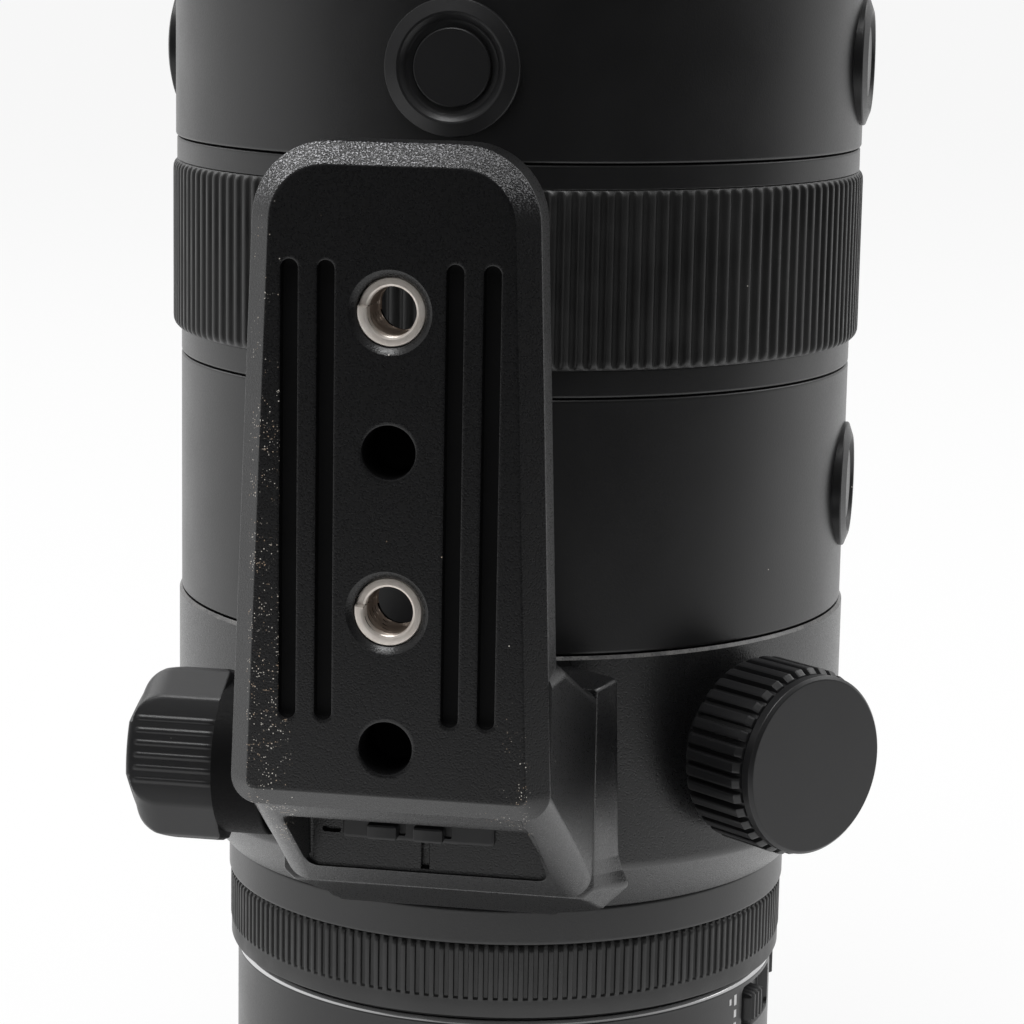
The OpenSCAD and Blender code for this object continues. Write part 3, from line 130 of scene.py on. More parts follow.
class LensColours(bpy.types.PropertyGroup):
    """Base colours of the finishes."""

    paint: FloatVectorProperty(
        name="Barrel paint", description="Satin paint of the barrels", default=(0.0075, 0.0075, 0.0080),
        size=3, subtype="COLOR", min=0, max=1)
    crinkle: FloatVectorProperty(
        name="Collar paint", description="Grained paint of the collar and the foot",
        default=(0.0055, 0.0055, 0.0060), size=3, subtype="COLOR", min=0, max=1)
    rubber: FloatVectorProperty(
        name="Grip rubber", description="Rubber of the grips", default=(0.0075, 0.0075, 0.0075),
        size=3, subtype="COLOR", min=0, max=1)
    plastic: FloatVectorProperty(
        name="Knob plastic", description="Knobs, buttons and switches", default=(0.0115, 0.0115, 0.0122),
        size=3, subtype="COLOR", min=0, max=1)
    wear: FloatVectorProperty(
        name="Wear", description="Chips and dust on worn edges", default=(0.72, 0.68, 0.62),
        size=3, subtype="COLOR", min=0, max=1)
    mark: FloatVectorProperty(
        name="Marks", description="Printed index marks", default=(0.75, 0.75, 0.75),
        size=3, subtype="COLOR", min=0, max=1)


class LensStage(bpy.types.PropertyGroup):
    """Camera and light."""

    distance: FloatProperty(
        name="Camera distance", description="From the optical axis", default=0.408, unit="LENGTH")
    height: FloatProperty(
        name="Camera height", description="Above the mount's flange", default=0.1575, unit="LENGTH")
    heading: FloatProperty(
        name="Camera heading", description="Turn from the foot towards the lock knob",
        default=radians(10.2), subtype="ANGLE")
    pitch: FloatProperty(
        name="Camera pitch", description="Tilt below the horizon",
        default=radians(10.6), subtype="ANGLE")
    roll: FloatProperty(
        name="Camera roll", description="Turn about the line of sight",
        default=radians(1.05), subtype="ANGLE")
    focal: FloatProperty(
        name="Focal length", description="On a sensor 36 mm wide, in millimetres", default=111.9)
    lamp: FloatProperty(
        name="Lamp power", description="Power of each softbox in watts", default=4.0)


def limits(node):
    """Lowest and highest corner of a solid in millimetres."""
    low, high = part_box(node)
    return np.array(low) / MM, np.array(high) / MM


def heights(node):
    """Lower and upper end of a solid along the optical axis, in millimetres."""
    low, high = limits(node)
    return np.array([low[2], high[2]])


def reach(node):
    """Outer radius of a turned solid in millimetres."""
    return limits(node)[1][0]


# Rings are drawn taller than their solids, because their seams look narrower than the running gaps
SEAM_FILL = np.array([0, 0.2])


# Lines and loops in a plane


def rounded(corners, radii, steps=5, support=0.2, closed=True):
    """A polygon with an arc in each corner. An arc's points are its centre plus the two end spokes,
    weighted by the sines of the angles left and done over the sine of the whole turn. One more point
    on each side keeps the shading of the straight runs flat. An open line keeps its two ends."""
    p = np.asarray(corners, float)
    radii = np.broadcast_to(np.asarray(radii, float), len(p))
    back, ahead = np.roll(p, 1, 0) - p, np.roll(p, -1, 0) - p
    if not closed:
        ends = p[[0, -1]]
        p, back, ahead, radii = p[1:-1], back[1:-1], ahead[1:-1], radii[1:-1]
    run_back = np.linalg.norm(back, axis=1, keepdims=True)
    run_ahead = np.linalg.norm(ahead, axis=1, keepdims=True)
    back, ahead = back / run_back, ahead / run_ahead
    angle = np.arccos(np.clip((back * ahead).sum(1, keepdims=True), -0.99999, 0.99999))
    run = np.minimum(run_back, run_ahead)
    cut = np.minimum(np.maximum(radii[:, None], 0.01) / np.tan(angle / 2), 0.44 * run)
    radius = cut * np.tan(angle / 2)
    half = (back + ahead) / np.maximum(np.linalg.norm(back + ahead, axis=1, keepdims=True), 1e-9)
    centre = p + half * radius / np.sin(angle / 2)
    turn = pi - angle
    s = np.linspace(0, 1, steps)[None, :, None]
    spoke_in, spoke_out = p + back * cut - centre, p + ahead * cut - centre
    arc = centre[:, None] + (
        spoke_in[:, None] * np.sin((1 - s) * turn[:, None])
        + spoke_out[:, None] * np.sin(s * turn[:, None])) / np.sin(turn[:, None])
    lead = np.minimum(support, 0.05 * run)
    points = np.concatenate(
        [(p + back * (cut + lead))[:, None], arc, (p + ahead * (cut + lead))[:, None]], 1).reshape(-1, 2)
    return points if closed else np.concatenate([ends[:1], points, ends[1:]])


def circle(radius, count=64, centre=(0, 0)):
    """A circle as a loop: centre plus radius times cosine and sine."""
    a = np.arange(count) * 2 * pi / count
    return np.column_stack([centre[0] + radius * np.cos(a), centre[1] + radius * np.sin(a)])


def stadium(x, low, high, half, steps=13):
    """A groove's outline: two half circles joined by straight runs along the second coordinate."""
    a = np.linspace(0, pi, steps)
    top = np.column_stack([x + half * np.cos(a), high + half * np.sin(a)])
    foot = np.column_stack([x - half * np.cos(a), low - half * np.sin(a)])
    return np.concatenate([top, foot])


def drawn_in(loop, inset):
    """The loop moved inwards along its normals, which are its central differences turned by 90 degrees."""
    along = np.roll(loop, -1, 0) - np.roll(loop, 1, 0)
    along = along / np.linalg.norm(along, axis=1, keepdims=True)
    return loop - inset * np.column_stack([along[:, 1], -along[:, 0]])


def walls(loop, steps):
    """The loop carried along pairs of inset and height, as a grid of rows."""
    return np.stack([np.column_stack([drawn_in(loop, inset), np.full(len(loop), h)]) for inset, h in steps])


def ease(value, low, high):
    """Smooth step from 0 at low to 1 at high."""
    t = np.clip((value - low) / (high - low), 0, 1)
    return t * t * (3 - 2 * t)


# Places in the lens's frame: rows are the directions of the local coordinates. The foot's run across, up the
# axis and out, and the rail's run across, out and up the axis.

FOOT = np.array([[1.0, 0, 0], [0, 0, 1], [0, -1, 0]])
RAIL = np.array([[1.0, 0, 0], [0, -1, 0], [0, 0, 1]])


def facing(azimuth):
    """Directions of a part that looks outwards: sideways, up the axis and out. The azimuth in degrees counts
    from the foot."""
    a = radians(azimuth - 90)
    return np.array([[-sin(a), cos(a), 0], [0, 0, 1], [cos(a), sin(a), 0]])


def turned(profile, count=ROUND):
    """A profile of radius and height carried round the axis: radius times cosine and sine, and height."""
    a = np.arange(count)[:, None] * 2 * pi / count
    r, z = np.asarray(profile, float).T
    return np.stack([r * np.cos(a), r * np.sin(a), np.broadcast_to(z, (count, len(z)))], -1)


def wrapped(angle, radius, height):
    """Points on a barrel from arrays of angle, radius and height."""
    angle, radius, height = np.broadcast_arrays(angle, radius, height)
    return np.stack([radius * np.cos(angle), radius * np.sin(angle), height], -1)


class Skin:
    """Collects grids and flat faces, and makes one mesh of them in which seams and poles are closed."""

    def __init__(self):
        self.points, self.faces, self.finishes, self.count = [], [], [], 0

    def add(self, points, faces, finish):
        """Faces of one size, as numbers of these points, with one finish or one for each face."""
        self.points.append(np.asarray(points, float).reshape(-1, 3))
        self.faces.append(np.asarray(faces) + self.count)
        self.finishes.append(np.broadcast_to(finish, len(faces)))
        self.count += len(self.points[-1])

    def grid(self, points, around=True, along=False, finish=0):
        """Quads between the rows and columns of a grid, closed round its first or second parameter if
        asked. A finish may be one number for each quad."""
        rows, columns = points.shape[:2]
        i = np.arange(rows if around else rows - 1)[:, None]
        j = np.arange(columns if along else columns - 1)[None, :]
        i_next, j_next = (i + 1) % rows, (j + 1) % columns
        quads = np.stack(np.broadcast_arrays(
            i * columns + j, i_next * columns + j, i_next * columns + j_next, i * columns + j_next), -1)
        kinds = np.broadcast_to(finish, quads.shape[:2]).reshape(-1)
        self.add(points, quads.reshape(-1, 4), kinds)

    def flat(self, loops, finish=0):
        """A flat face inside the first loop and outside the others."""
        triangles = tessellate_polygon([[Vector(p) for p in loop] for loop in loops])
        self.add(np.concatenate(loops), np.array(triangles), finish)

    def loft(self, rows, ends=(0, -1), finish=0):
        """Loops joined in order, with a flat face across those that are named as ends. A face takes the
        finish of the quads beside it."""
        self.grid(rows, False, True, finish)
        kinds = np.broadcast_to(finish, (len(rows) - 1, 1))
        for end in ends:
            self.flat([rows[end]], kinds[end, 0])

    def slab(self, top, foot):
        """Two open grids of the same shape, joined along their four edges."""
        self.grid(top, False, False)
        self.grid(foot, False, False)
        for edge in np.s_[0, :], np.s_[-1, :], np.s_[:, 0], np.s_[:, -1]:
            self.grid(np.stack([top[edge], foot[edge]]), False, False)

    def placed(self, directions, origin=(0, 0, 0)):
        """Turns local coordinates into the lens's frame."""
        self.points = [p @ np.asarray(directions) + np.asarray(origin, float) for p in self.points]
        return self

    def object(self, name, *finishes, sharp=30):
        """The mesh as an object at the origin, with finishes by name and its edges sharp above an angle in
        degrees."""
        mesh = bpy.data.meshes.new(name)
        points = np.concatenate(self.points) * MM
        loops = np.concatenate([f.reshape(-1) for f in self.faces])
        sizes = np.concatenate([np.full(len(f), f.shape[1]) for f in self.faces])
        mesh.vertices.add(len(points))
        mesh.vertices.foreach_set("co", points.astype(np.float32).ravel())
        mesh.loops.add(len(loops))
        mesh.loops.foreach_set("vertex_index", loops.astype(np.int32))
        mesh.polygons.add(len(sizes))
        starts = np.concatenate([[0], np.cumsum(sizes)[:-1]])
        mesh.polygons.foreach_set("loop_start", starts.astype(np.int32))
        mesh.polygons.foreach_set("material_index", np.concatenate(self.finishes).astype(np.int32))
        mesh.update(calc_edges=True)
        mesh.validate()
        work = bmesh.new()
        work.from_mesh(mesh)
        bmesh.ops.remove_doubles(work, verts=work.verts, dist=WELD)
        bmesh.ops.dissolve_degenerate(work, edges=work.edges, dist=SLIVER)
        bmesh.ops.recalc_face_normals(work, faces=work.faces)
        work.to_mesh(mesh)
        work.free()
        for kind in finishes:
            mesh.materials.append(finish(kind))
        shaded(mesh, sharp)
        made = bpy.data.objects.new(name, mesh)
        bpy.context.scene.collection.objects.link(made)
        return made


def shaded(mesh, sharp):
    """Smooth shading with sharp edges above an angle in degrees."""
    mesh.polygons.foreach_set("use_smooth", np.ones(len(mesh.polygons), bool))
    mesh.set_sharp_from_angle(angle=radians(sharp))


def carve(target, tool, operation, sharp=30):
    """Joins a tool to the target or cuts it out, and removes the tool."""
    cut = target.modifiers.new("cut", "BOOLEAN")
    cut.operation, cut.solver, cut.object = operation, "EXACT", tool
    bpy.context.view_layer.update()
    graph = bpy.context.evaluated_depsgraph_get()
    done = bpy.data.meshes.new_from_object(target.evaluated_get(graph))
    old, name = target.data, target.data.name
    target.modifiers.clear()
    target.data = done
    bpy.data.meshes.remove(old)
    done.name = name
    shaded(done, sharp)
    bpy.data.objects.remove(tool)
    return target


def flattened(piece):
    """Lets large faces set the shading at their edges, so that flat ones look flat."""
    weighted = piece.modifiers.new("weighted", "WEIGHTED_NORMAL")
    weighted.keep_sharp = True


def dress(piece, body, slot, *nodes):
    """The piece rides on a body and stands for these solids. The slot is not used."""
    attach(piece, body)
    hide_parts(*nodes)
    return piece


# Finishes


class Wire:
    """A value in a node tree. Arithmetic on it adds Math nodes."""

    def __init__(self, nodes, socket):
        self.nodes, self.socket = nodes, socket

    def __add__(self, other):
        return self.nodes.maths("ADD", self, other)

    def __sub__(self, other):
        return self.nodes.maths("SUBTRACT", self, other)

    def __rsub__(self, other):
        return self.nodes.maths("SUBTRACT", other, self)

    def __mul__(self, other):
        return self.nodes.maths("MULTIPLY", self, other)

    def __pow__(self, other):
        return self.nodes.maths("POWER", self, other)


class Nodes:
    """A node tree, emptied first, and the methods that add to it."""

    def __init__(self, tree):
        self.tree = tree
        tree.nodes.clear()

    def feed(self, socket, value):
        """Links a wire to a socket, or sets a number or colour on it."""
        if isinstance(value, Wire):
            self.tree.links.new(value.socket, socket)
        elif socket.type == "RGBA" and len(value) == 3:
            socket.default_value = (*value, 1)
        else:
            socket.default_value = value

    def node(self, kind, settings=None, sockets=None, output=0):
        """Any node: its settings first, then its sockets by name or number, and the wire of one output."""
        made = self.tree.nodes.new(kind)
        for key, value in (settings or {}).items():
            setattr(made, key, value)
        for key, value in (sockets or {}).items():
            self.feed(made.inputs[key], value)
        return Wire(self, made.outputs[output])

    def maths(self, operation, first, second):
        """Arithmetic of two values."""
        return self.node("ShaderNodeMath", {"operation": operation}, {0: first, 1: second})

    def ray(self, kind):
        """1 on rays of a kind, such as Camera, and 0 on all others."""
        return self.node("ShaderNodeLightPath", output="Is %s Ray" % kind)


class Finish(Nodes):
    """A material with one Principled shader, and the methods that feed it."""

    def __init__(self, name, **constants):
        self.material = bpy.data.materials.new(name)
        self.material.use_nodes = True
        super().__init__(self.material.node_tree)
        self.shader = self.tree.nodes.new("ShaderNodeBsdfPrincipled")
        self.output = self.tree.nodes.new("ShaderNodeOutputMaterial")
        self.surface = Wire(self, self.shader.outputs[0])
        self.show(self.surface)
        self.set(**constants)
        self.place = self.node("ShaderNodeTexCoord", output="Object")

    def show(self, surface):
        """Links a surface to the material's output."""
        self.feed(self.output.inputs["Surface"], surface)

    def set(self, **sockets):
        """Feeds the shader's sockets by name, with _ for a space."""
        for name, value in sockets.items():
            self.feed(self.shader.inputs[name.replace("_", " ")], value)

    def noise(self, size, detail=2.0, rough=0.5, stretch=None):
        """Noise with features of a size in millimetres, stretched along the axes if asked."""
        place = self.place
        if stretch:
            place = self.node("ShaderNodeMapping", None, {"Vector": place, "Scale": stretch})
        return self.node(
            "ShaderNodeTexNoise", None,
            {"Vector": place, "Scale": 1 / (size * MM), "Detail": detail, "Roughness": rough}, "Fac")

    def cells(self, size, output="Distance"):
        """Cells of a size in millimetres: the distance from a cell's middle or its own random colour."""
        return self.node(
            "ShaderNodeTexVoronoi", None, {"Vector": self.place, "Scale": 1 / (size * MM)}, output)

    def specks(self, size, share, radius):
        """Specks: cells in which a random share is filled by a dot of a radius in cells."""
        random = self.node("ShaderNodeSeparateColor", None, {0: self.cells(size, "Color")})
        chosen = self.ramp(random, 1 - share, 1 - share + 0.01)
        return chosen * self.ramp(self.cells(size), radius, radius * 0.5)

    def ramp(self, value, low, high, start=0.0, end=1.0):
        """Maps low to start and high to end along a smooth step, and holds both beyond."""
        return self.node(
            "ShaderNodeMapRange", {"interpolation_type": "SMOOTHSTEP"},
            {"Value": value, "From Min": low, "From Max": high, "To Min": start, "To Max": end})

    def mix(self, factor, first, second):
        """Blends two colours, which are sockets 6 and 7 of the node, into its output 2."""
        return self.node("ShaderNodeMix", {"data_type": "RGBA"}, {0: factor, 6: first, 7: second}, 2)

    def bump(self, height, depth):
        """Bump of a depth in millimetres into the shader's normal."""
        relief = {"Height": height, "Distance": depth * MM}
        self.set(Normal=self.node("ShaderNodeBump", None, relief, "Normal"))

    def axis(self, name):
        """One object coordinate in millimetres."""
        return self.node("ShaderNodeSeparateXYZ", None, {0: self.place}, name) * (1 / MM)

    def radius(self):
        """Distance from the optical axis in millimetres: the root of the sum of two squares."""
        x, y = self.axis("X"), self.axis("Y")
        return (x * x + y * y) ** 0.5

    def sine(self, value):
        """Sine of a value."""
        return self.node("ShaderNodeMath", {"operation": "SINE"}, {0: value})


FINISHES = {}


def finish(name):
    """A finish by name, made once."""
    if name not in FINISHES:
        FINISHES[name] = MAKERS[name](bpy.context.scene.lens_colours).material
    return FINISHES[name]


def scaled(colour, share):
    """A colour times a share."""
    return [c * share for c in colour]


def barrel_paint(colours):
    """Satin paint with a fine grain, slightly cloudy in gloss, with very rare dust."""
    made = Finish("barrel_paint", Specular_IOR_Level=0.68)
    grain, cloud = made.noise(0.22, 2.0), made.noise(9.0, 3.0)
    base = made.mix(cloud, colours.paint, scaled(colours.paint, 1.25))
    made.set(
        Base_Color=made.mix(made.specks(2.4, 0.03, 0.045), base, colours.wear),
        Roughness=made.ramp(grain * 0.6 + cloud * 0.4, 0.25, 0.75, 0.29, 0.40))
    made.bump(grain, 0.012)
    return made


def crinkle_paint(colours, name="crinkle_paint", shine=0.58):
    """Grained paint, coarsest on the bevel at the foot's front, where the grain's crests are painted pale as
    a painted highlight, brightest towards the left. Chips of bare metal, scratches and dust lie thickest
    along the foot's worn edges."""
    made = Finish(name, Specular_IOR_Level=shine)
    grain, cloud = made.noise(0.19, 1.0, 0.5), made.noise(7.0, 3.0)
    x, y, z = made.axis("X"), made.axis("Y"), made.axis("Z")
    on_foot = made.ramp(y, -60, -66)
    bevel = made.ramp(y, 2.4 - FOOT_FACE, 2.2 - FOOT_FACE) * made.ramp(y, 0.03 - FOOT_FACE, 0.1 - FOOT_FACE)
    top = bevel * made.ramp(z, FOOT_FRONT - 7.9, FOOT_FRONT - 2.9)
    left = made.ramp(x, -9.5, -12.0) * made.ramp(x, -15.9, -15.3) * made.ramp(z, 130, 76, 0.35, 1.0)
    rear = made.ramp(z, 73, 62)
    right = made.ramp(x, 10, 14) * made.ramp(x, 16.2, 15.2) * made.ramp(y, -68, -71) * made.ramp(z, 86, 62)
    patchy = made.ramp(made.noise(3.2, 4.0, 0.65), 0.36, 0.56)
    worn = on_foot * (left * 0.95 + rear * 0.25 + right * 0.6) * patchy
    dots = made.specks(0.5, 0.45, 0.2) * made.ramp(worn, 0.15, 0.5)
    dots = dots + made.specks(0.27, 0.4, 0.3) * made.ramp(worn, 0.25, 0.7)
    streaks = made.noise(0.22, 1.0, 0.5, (0.35, 1.0, 1.0))
    scratches = made.ramp(streaks, 0.66, 0.72) * made.ramp(worn, 0.45, 0.8)
    rare = made.specks(1.5, 0.06, 0.07) * made.ramp(on_foot, 0.0, 1.0, 0.4, 1.0)
    wear = made.mix(made.ramp(made.noise(0.9), 0.45, 0.6), colours.wear, (0.42, 0.31, 0.22))
    # Painted highlight: pale glints on the grain's crests along the top bevel, stronger to the left.
    painted_glints = made.ramp(grain, 0.53, 0.64) * top * made.ramp(x, 13, -3, 0.35, 1.0)
    base = made.mix(cloud, colours.crinkle, scaled(colours.crinkle, 1.3))
    base = made.mix(painted_glints, base, (0.44, 0.44, 0.46))
    made.set(
        Base_Color=made.mix(made.ramp(dots + scratches * 0.7 + rare, 0.0, 1.0), base, wear),
        Roughness=made.ramp(grain, 0.3, 0.7, 0.26, 0.36) - top * 0.1)
    made.bump(grain * (0.25 - on_foot * 0.05 + top * 1.5), 0.12)
    return made


def collar_paint(colours):
    """The foot's paint, a little glossier on the collar."""
    return crinkle_paint(colours, "collar_paint", 0.85)


def painted_edge_highlight(colours):
    """Paint on an edge, painted lighter grey in patches as a painted highlight."""
    made = Finish("painted_edge_highlight", Specular_IOR_Level=0.8)
    patch, grain = made.noise(2.5, 4.0, 0.6), made.noise(0.2, 2.0)
    # Painted highlight: the edge's paint is lighter grey in noisy patches.
    highlit = made.ramp(patch + grain * 0.3, 0.45, 0.85)
    made.set(
        Base_Color=made.mix(highlit, (0.03, 0.03, 0.032), (0.12, 0.115, 0.11)),
        Roughness=made.ramp(grain, 0.3, 0.7, 0.25, 0.4))
    return made


def grip_rubber(colours):
    """Matt rubber, dusty in places."""
    made = Finish("grip_rubber", Specular_IOR_Level=0.7)
    grain, cloud = made.noise(0.35, 3.0), made.noise(6.0, 4.0)
    base = made.mix(made.ramp(cloud, 0.35, 0.75), colours.rubber, scaled(colours.rubber, 1.5))
    made.set(
        Base_Color=made.mix(made.specks(2.2, 0.06, 0.06), base, colours.wear),
        Roughness=made.ramp(cloud, 0.3, 0.7, 0.40, 0.52))
    made.bump(grain, 0.012)
    return made


def black_plastic(colours):
    """Moulded plastic with a fine spark-eroded texture."""
    made = Finish("black_plastic", Specular_IOR_Level=0.5)
    grain, cloud = made.noise(0.16, 2.0), made.noise(5.0, 3.0)
    base = made.mix(cloud, colours.plastic, scaled(colours.plastic, 1.3))
    made.set(
        Base_Color=made.mix(made.specks(1.9, 0.04, 0.06), base, colours.wear),
        Roughness=made.ramp(grain, 0.3, 0.7, 0.30, 0.42))
    made.bump(grain, 0.008)
    return made


def polished_edge(colours):
    """Diamond-turned bright edge of the rear barrel."""
    made = Finish("polished_edge", Metallic=1.0)
    lines = made.noise(0.12, 1.0, 0.5, (0.06, 0.06, 1.0))
    made.set(
        Base_Color=made.mix(lines, (0.80, 0.80, 0.81), (0.92, 0.92, 0.92)),
        Roughness=made.ramp(lines, 0.2, 0.8, 0.10, 0.2))
    return made


def stainless(colours):
    """Stainless steel of the screws, the drive key and the guide bars, finely grained."""
    made = Finish("stainless", Metallic=1.0)
    grain, cloud = made.noise(0.14, 2.0), made.noise(2.5, 3.0)
    made.set(
        Base_Color=made.mix(cloud, (0.60, 0.58, 0.55), (0.72, 0.71, 0.69)),
        Roughness=made.ramp(grain * 0.5 + cloud * 0.5, 0.3, 0.7, 0.18, 0.34))
    made.bump(grain, 0.004)
    return made


def insert_wire(colours):
    """Wire of the thread inserts under a pale film: bright on the rim, and darker down the bore as painted
    shade, with drawing lines along the thread."""
    made = Finish("insert_wire", Metallic=0.6)
    lines, cloud = made.noise(0.18, 2.0, 0.5, (1.0, 1.0, 0.3)), made.noise(1.6, 3.0)
    rim = made.mix(cloud, (0.74, 0.66, 0.59), (0.92, 0.87, 0.81))
    inside = made.mix(cloud, (0.30, 0.23, 0.18), (0.52, 0.43, 0.36))
    # Painted shade: the wire's colour darkens from the rim down into the bore.
    depth = made.ramp(made.axis("Y"), 1.3 - FOOT_FACE, 2.6 - FOOT_FACE)
    made.set(Base_Color=made.mix(depth, rim, inside), Roughness=made.ramp(lines, 0.3, 0.7, 0.28, 0.44))
    made.bump(lines, 0.01)
    return made


def mount_chrome(colours):
    """Turned and plated bayonet with fine concentric lathe lines."""
    made = Finish("mount_chrome", Metallic=1.0)
    lathe, cloud = made.sine(made.radius() * 40.0), made.noise(6.0, 4.0)
    made.set(
        Base_Color=made.mix(cloud, (0.70, 0.70, 0.69), (0.80, 0.80, 0.79)),
        Roughness=made.ramp(lathe + cloud * 2.0, -0.5, 2.5, 0.14, 0.30))
    made.bump(lathe, 0.0015)
    return made


def contact_gold(colours):
    """Gold-plated contact pins."""
    made = Finish("contact_gold", Metallic=1.0)
    cloud = made.noise(0.5, 3.0)
    made.set(
        Base_Color=made.mix(cloud, (0.85, 0.60, 0.24), (0.95, 0.74, 0.36)),
        Roughness=made.ramp(cloud, 0.3, 0.7, 0.15, 0.3))
    return made


def inner_black(colours):
    """Matt black lining and anodised cells. The same matt black stands for painted shade in the foot's
    grooves and holes, in the inserts' thread roots and on the clamp knob's hub.
    """
    made = Finish("inner_black", Specular_IOR_Level=0.1)
    grain, cloud = made.noise(0.2, 2.0), made.noise(8.0, 3.0)
    made.set(
        Base_Color=made.mix(cloud, (0.003, 0.003, 0.0032), (0.006, 0.006, 0.0064)),
        Roughness=made.ramp(grain, 0.3, 0.7, 0.5, 0.68))
    made.bump(grain, 0.006)
    return made


def magnet(colours):
    """Nickel-plated magnets."""
    made = Finish("magnet", Metallic=1.0)
    cloud = made.noise(2.0, 3.0)
    made.set(
        Base_Color=made.mix(cloud, (0.42, 0.42, 0.43), (0.52, 0.51, 0.50)),
        Roughness=made.ramp(cloud, 0.3, 0.7, 0.22, 0.36))
    return made


def seal_rubber(colours):
    """Soft seal."""
    made = Finish("seal_rubber")
    cloud = made.noise(1.5, 4.0)
    made.set(
        Base_Color=made.mix(cloud, (0.020, 0.020, 0.021), (0.035, 0.035, 0.036)),
        Roughness=made.ramp(cloud, 0.3, 0.7, 0.62, 0.78))
    made.bump(cloud, 0.02)
    return made


def window_gloss(colours):
    """Polished black window with faint smears."""
    made = Finish("window_gloss")
    smear = made.noise(4.0, 4.0, 0.6, (1.0, 1.0, 0.35))
    made.set(
        Base_Color=made.mix(smear, (0.004, 0.004, 0.005), (0.010, 0.010, 0.012)),
        Roughness=made.ramp(smear, 0.4, 0.8, 0.05, 0.2))
    return made


def coil_copper(colours):
    """Enamelled wire laid in turns."""
    made = Finish("coil_copper", Metallic=1.0)
    turns = made.sine(made.axis("Z") * 18.0)
    made.set(
        Base_Color=made.mix(made.ramp(turns, -1, 1), (0.35, 0.14, 0.05), (0.72, 0.36, 0.16)),
        Roughness=made.ramp(turns, -1, 1, 0.4, 0.25))
    made.bump(turns, 0.03)
    return made


def lens_glass(colours):
    """Coated glass: clear, with a faint tint in its reflections and the odd speck of dust."""
    made = Finish("lens_glass", Transmission_Weight=1.0, IOR=1.52, Specular_Tint=(0.55, 0.75, 0.62))
    made.set(
        Base_Color=made.mix(made.specks(3.0, 0.05, 0.03), (0.97, 0.985, 0.99), (0.8, 0.8, 0.8)),
        Roughness=made.ramp(made.noise(9.0, 3.0), 0.4, 0.8, 0.0, 0.02))
    return made


def printed_mark(colours):
    """Printed paint of the index marks."""
    made = Finish("printed_mark")
    grain = made.noise(0.15, 2.0)
    made.set(
        Base_Color=made.mix(made.ramp(grain, 0.3, 0.5), scaled(colours.mark, 0.8), colours.mark),
        Roughness=made.ramp(grain, 0.3, 0.7, 0.42, 0.58))
    return made


def floor_white(colours):
    """White floor. It is lit, so it keeps the shadow, and lifted to white for the camera and through glass.
    Reflections see it bright round the lens and far behind it. Towards the viewer it darkens for the light
    and the reflections, as outside a light tent."""
    made = Finish("floor_white", Roughness=0.9, Specular_IOR_Level=0.0)
    ahead = made.axis("Y") * 0.91 - made.axis("X") * 0.42
    near = made.ramp(ahead, -380, -60)
    made.set(Base_Color=made.mix(near, (0.02, 0.02, 0.02), (0.84, 0.84, 0.84)))
    shine = near * made.ramp(made.radius(), 60, 260, 0.9, 0.45) + made.ramp(ahead, 330, 560) * 0.45
    seen = made.maths("MAXIMUM", made.ray("Camera"), made.ray("Transmission"))
    lift = made.maths("MAXIMUM", seen * 0.86, made.ray("Glossy") * shine)
    white = made.node("ShaderNodeEmission")
    made.show(made.node("ShaderNodeMixShader", None, {0: lift, 1: made.surface, 2: white}))
    return made


MAKERS = {
    maker.__name__: maker for maker in (
        barrel_paint, crinkle_paint, collar_paint, painted_edge_highlight, grip_rubber, black_plastic, polished_edge,
        stainless, insert_wire, mount_chrome, contact_gold, inner_black, magnet, seal_rubber, window_gloss,
        coil_copper, lens_glass, printed_mark, floor_white)}


# Shapes


def rib_wave(turn, land, root):
    """Height of a row of ribs: 1 within the land and 0 beyond the root, which are shares of half a pitch."""
    off = np.abs(turn % 1.0 - 0.5) * 2
    return 1 - ease(off, land, root)


RIB_STOPS = (0.0, 0.12, 0.2, 0.28, 0.36, 0.5, 0.64, 0.72, 0.8, 0.88)


def ribbed(rows, count, land, root):
    """A ribbed ring: at each row of root radius, rib height and axial height, the radius is the root plus
    the rib height times the rib wave round the axis. Each pitch has the same stops, as shares of it."""
    angle = ((np.arange(count)[:, None] + np.array(RIB_STOPS)) / count * 2 * pi).reshape(-1, 1)
    r, rise, z = np.asarray(rows, float).T
    wave = rib_wave(angle * count / (2 * pi), land, root)
    return wrapped(angle, r[None] + rise[None] * wave, z[None])


def triangle(phase):
    """A triangle wave of period 1 that falls from 1 to 0 and rises again."""
    return np.abs(phase % 1.0 * 2 - 1)


def ring_profile(r_in, r_out, low, high, edge):
    """Closed profile of a plain ring with rounded outer edges."""
    return rounded([(r_in, low), (r_out, low), (r_out, high), (r_in, high)], [0.02, edge, edge, 0.02])


def lined(low, high, dense, step, coarse):
    """Sorted stations from low to high at a coarse spacing, with a fine step inside the dense stretches."""
    stations = [np.linspace(low, high, coarse)]
    stations += [np.arange(a, b, step) for a, b in dense]
    joined = np.unique(np.round(np.concatenate(stations), 6))
    return joined[(joined >= low) & (joined <= high)]


def around_zero(angle):
    """The same angle between minus and plus half a turn."""
    return (angle + pi) % (2 * pi) - pi


def box_gap(u, v, half_u, half_v, corner):
    """Signed distance into a rounded rectangle: positive inside, zero on its outline."""
    du, dv = np.abs(u) - half_u + corner, np.abs(v) - half_v + corner
    outside = np.hypot(np.maximum(du, 0), np.maximum(dv, 0))
    return corner - outside - np.minimum(np.maximum(du, dv), 0)


class Piece(bpy.types.Operator):
    """Shared by the operators that make a piece."""

    bl_options = {"REGISTER", "UNDO"}


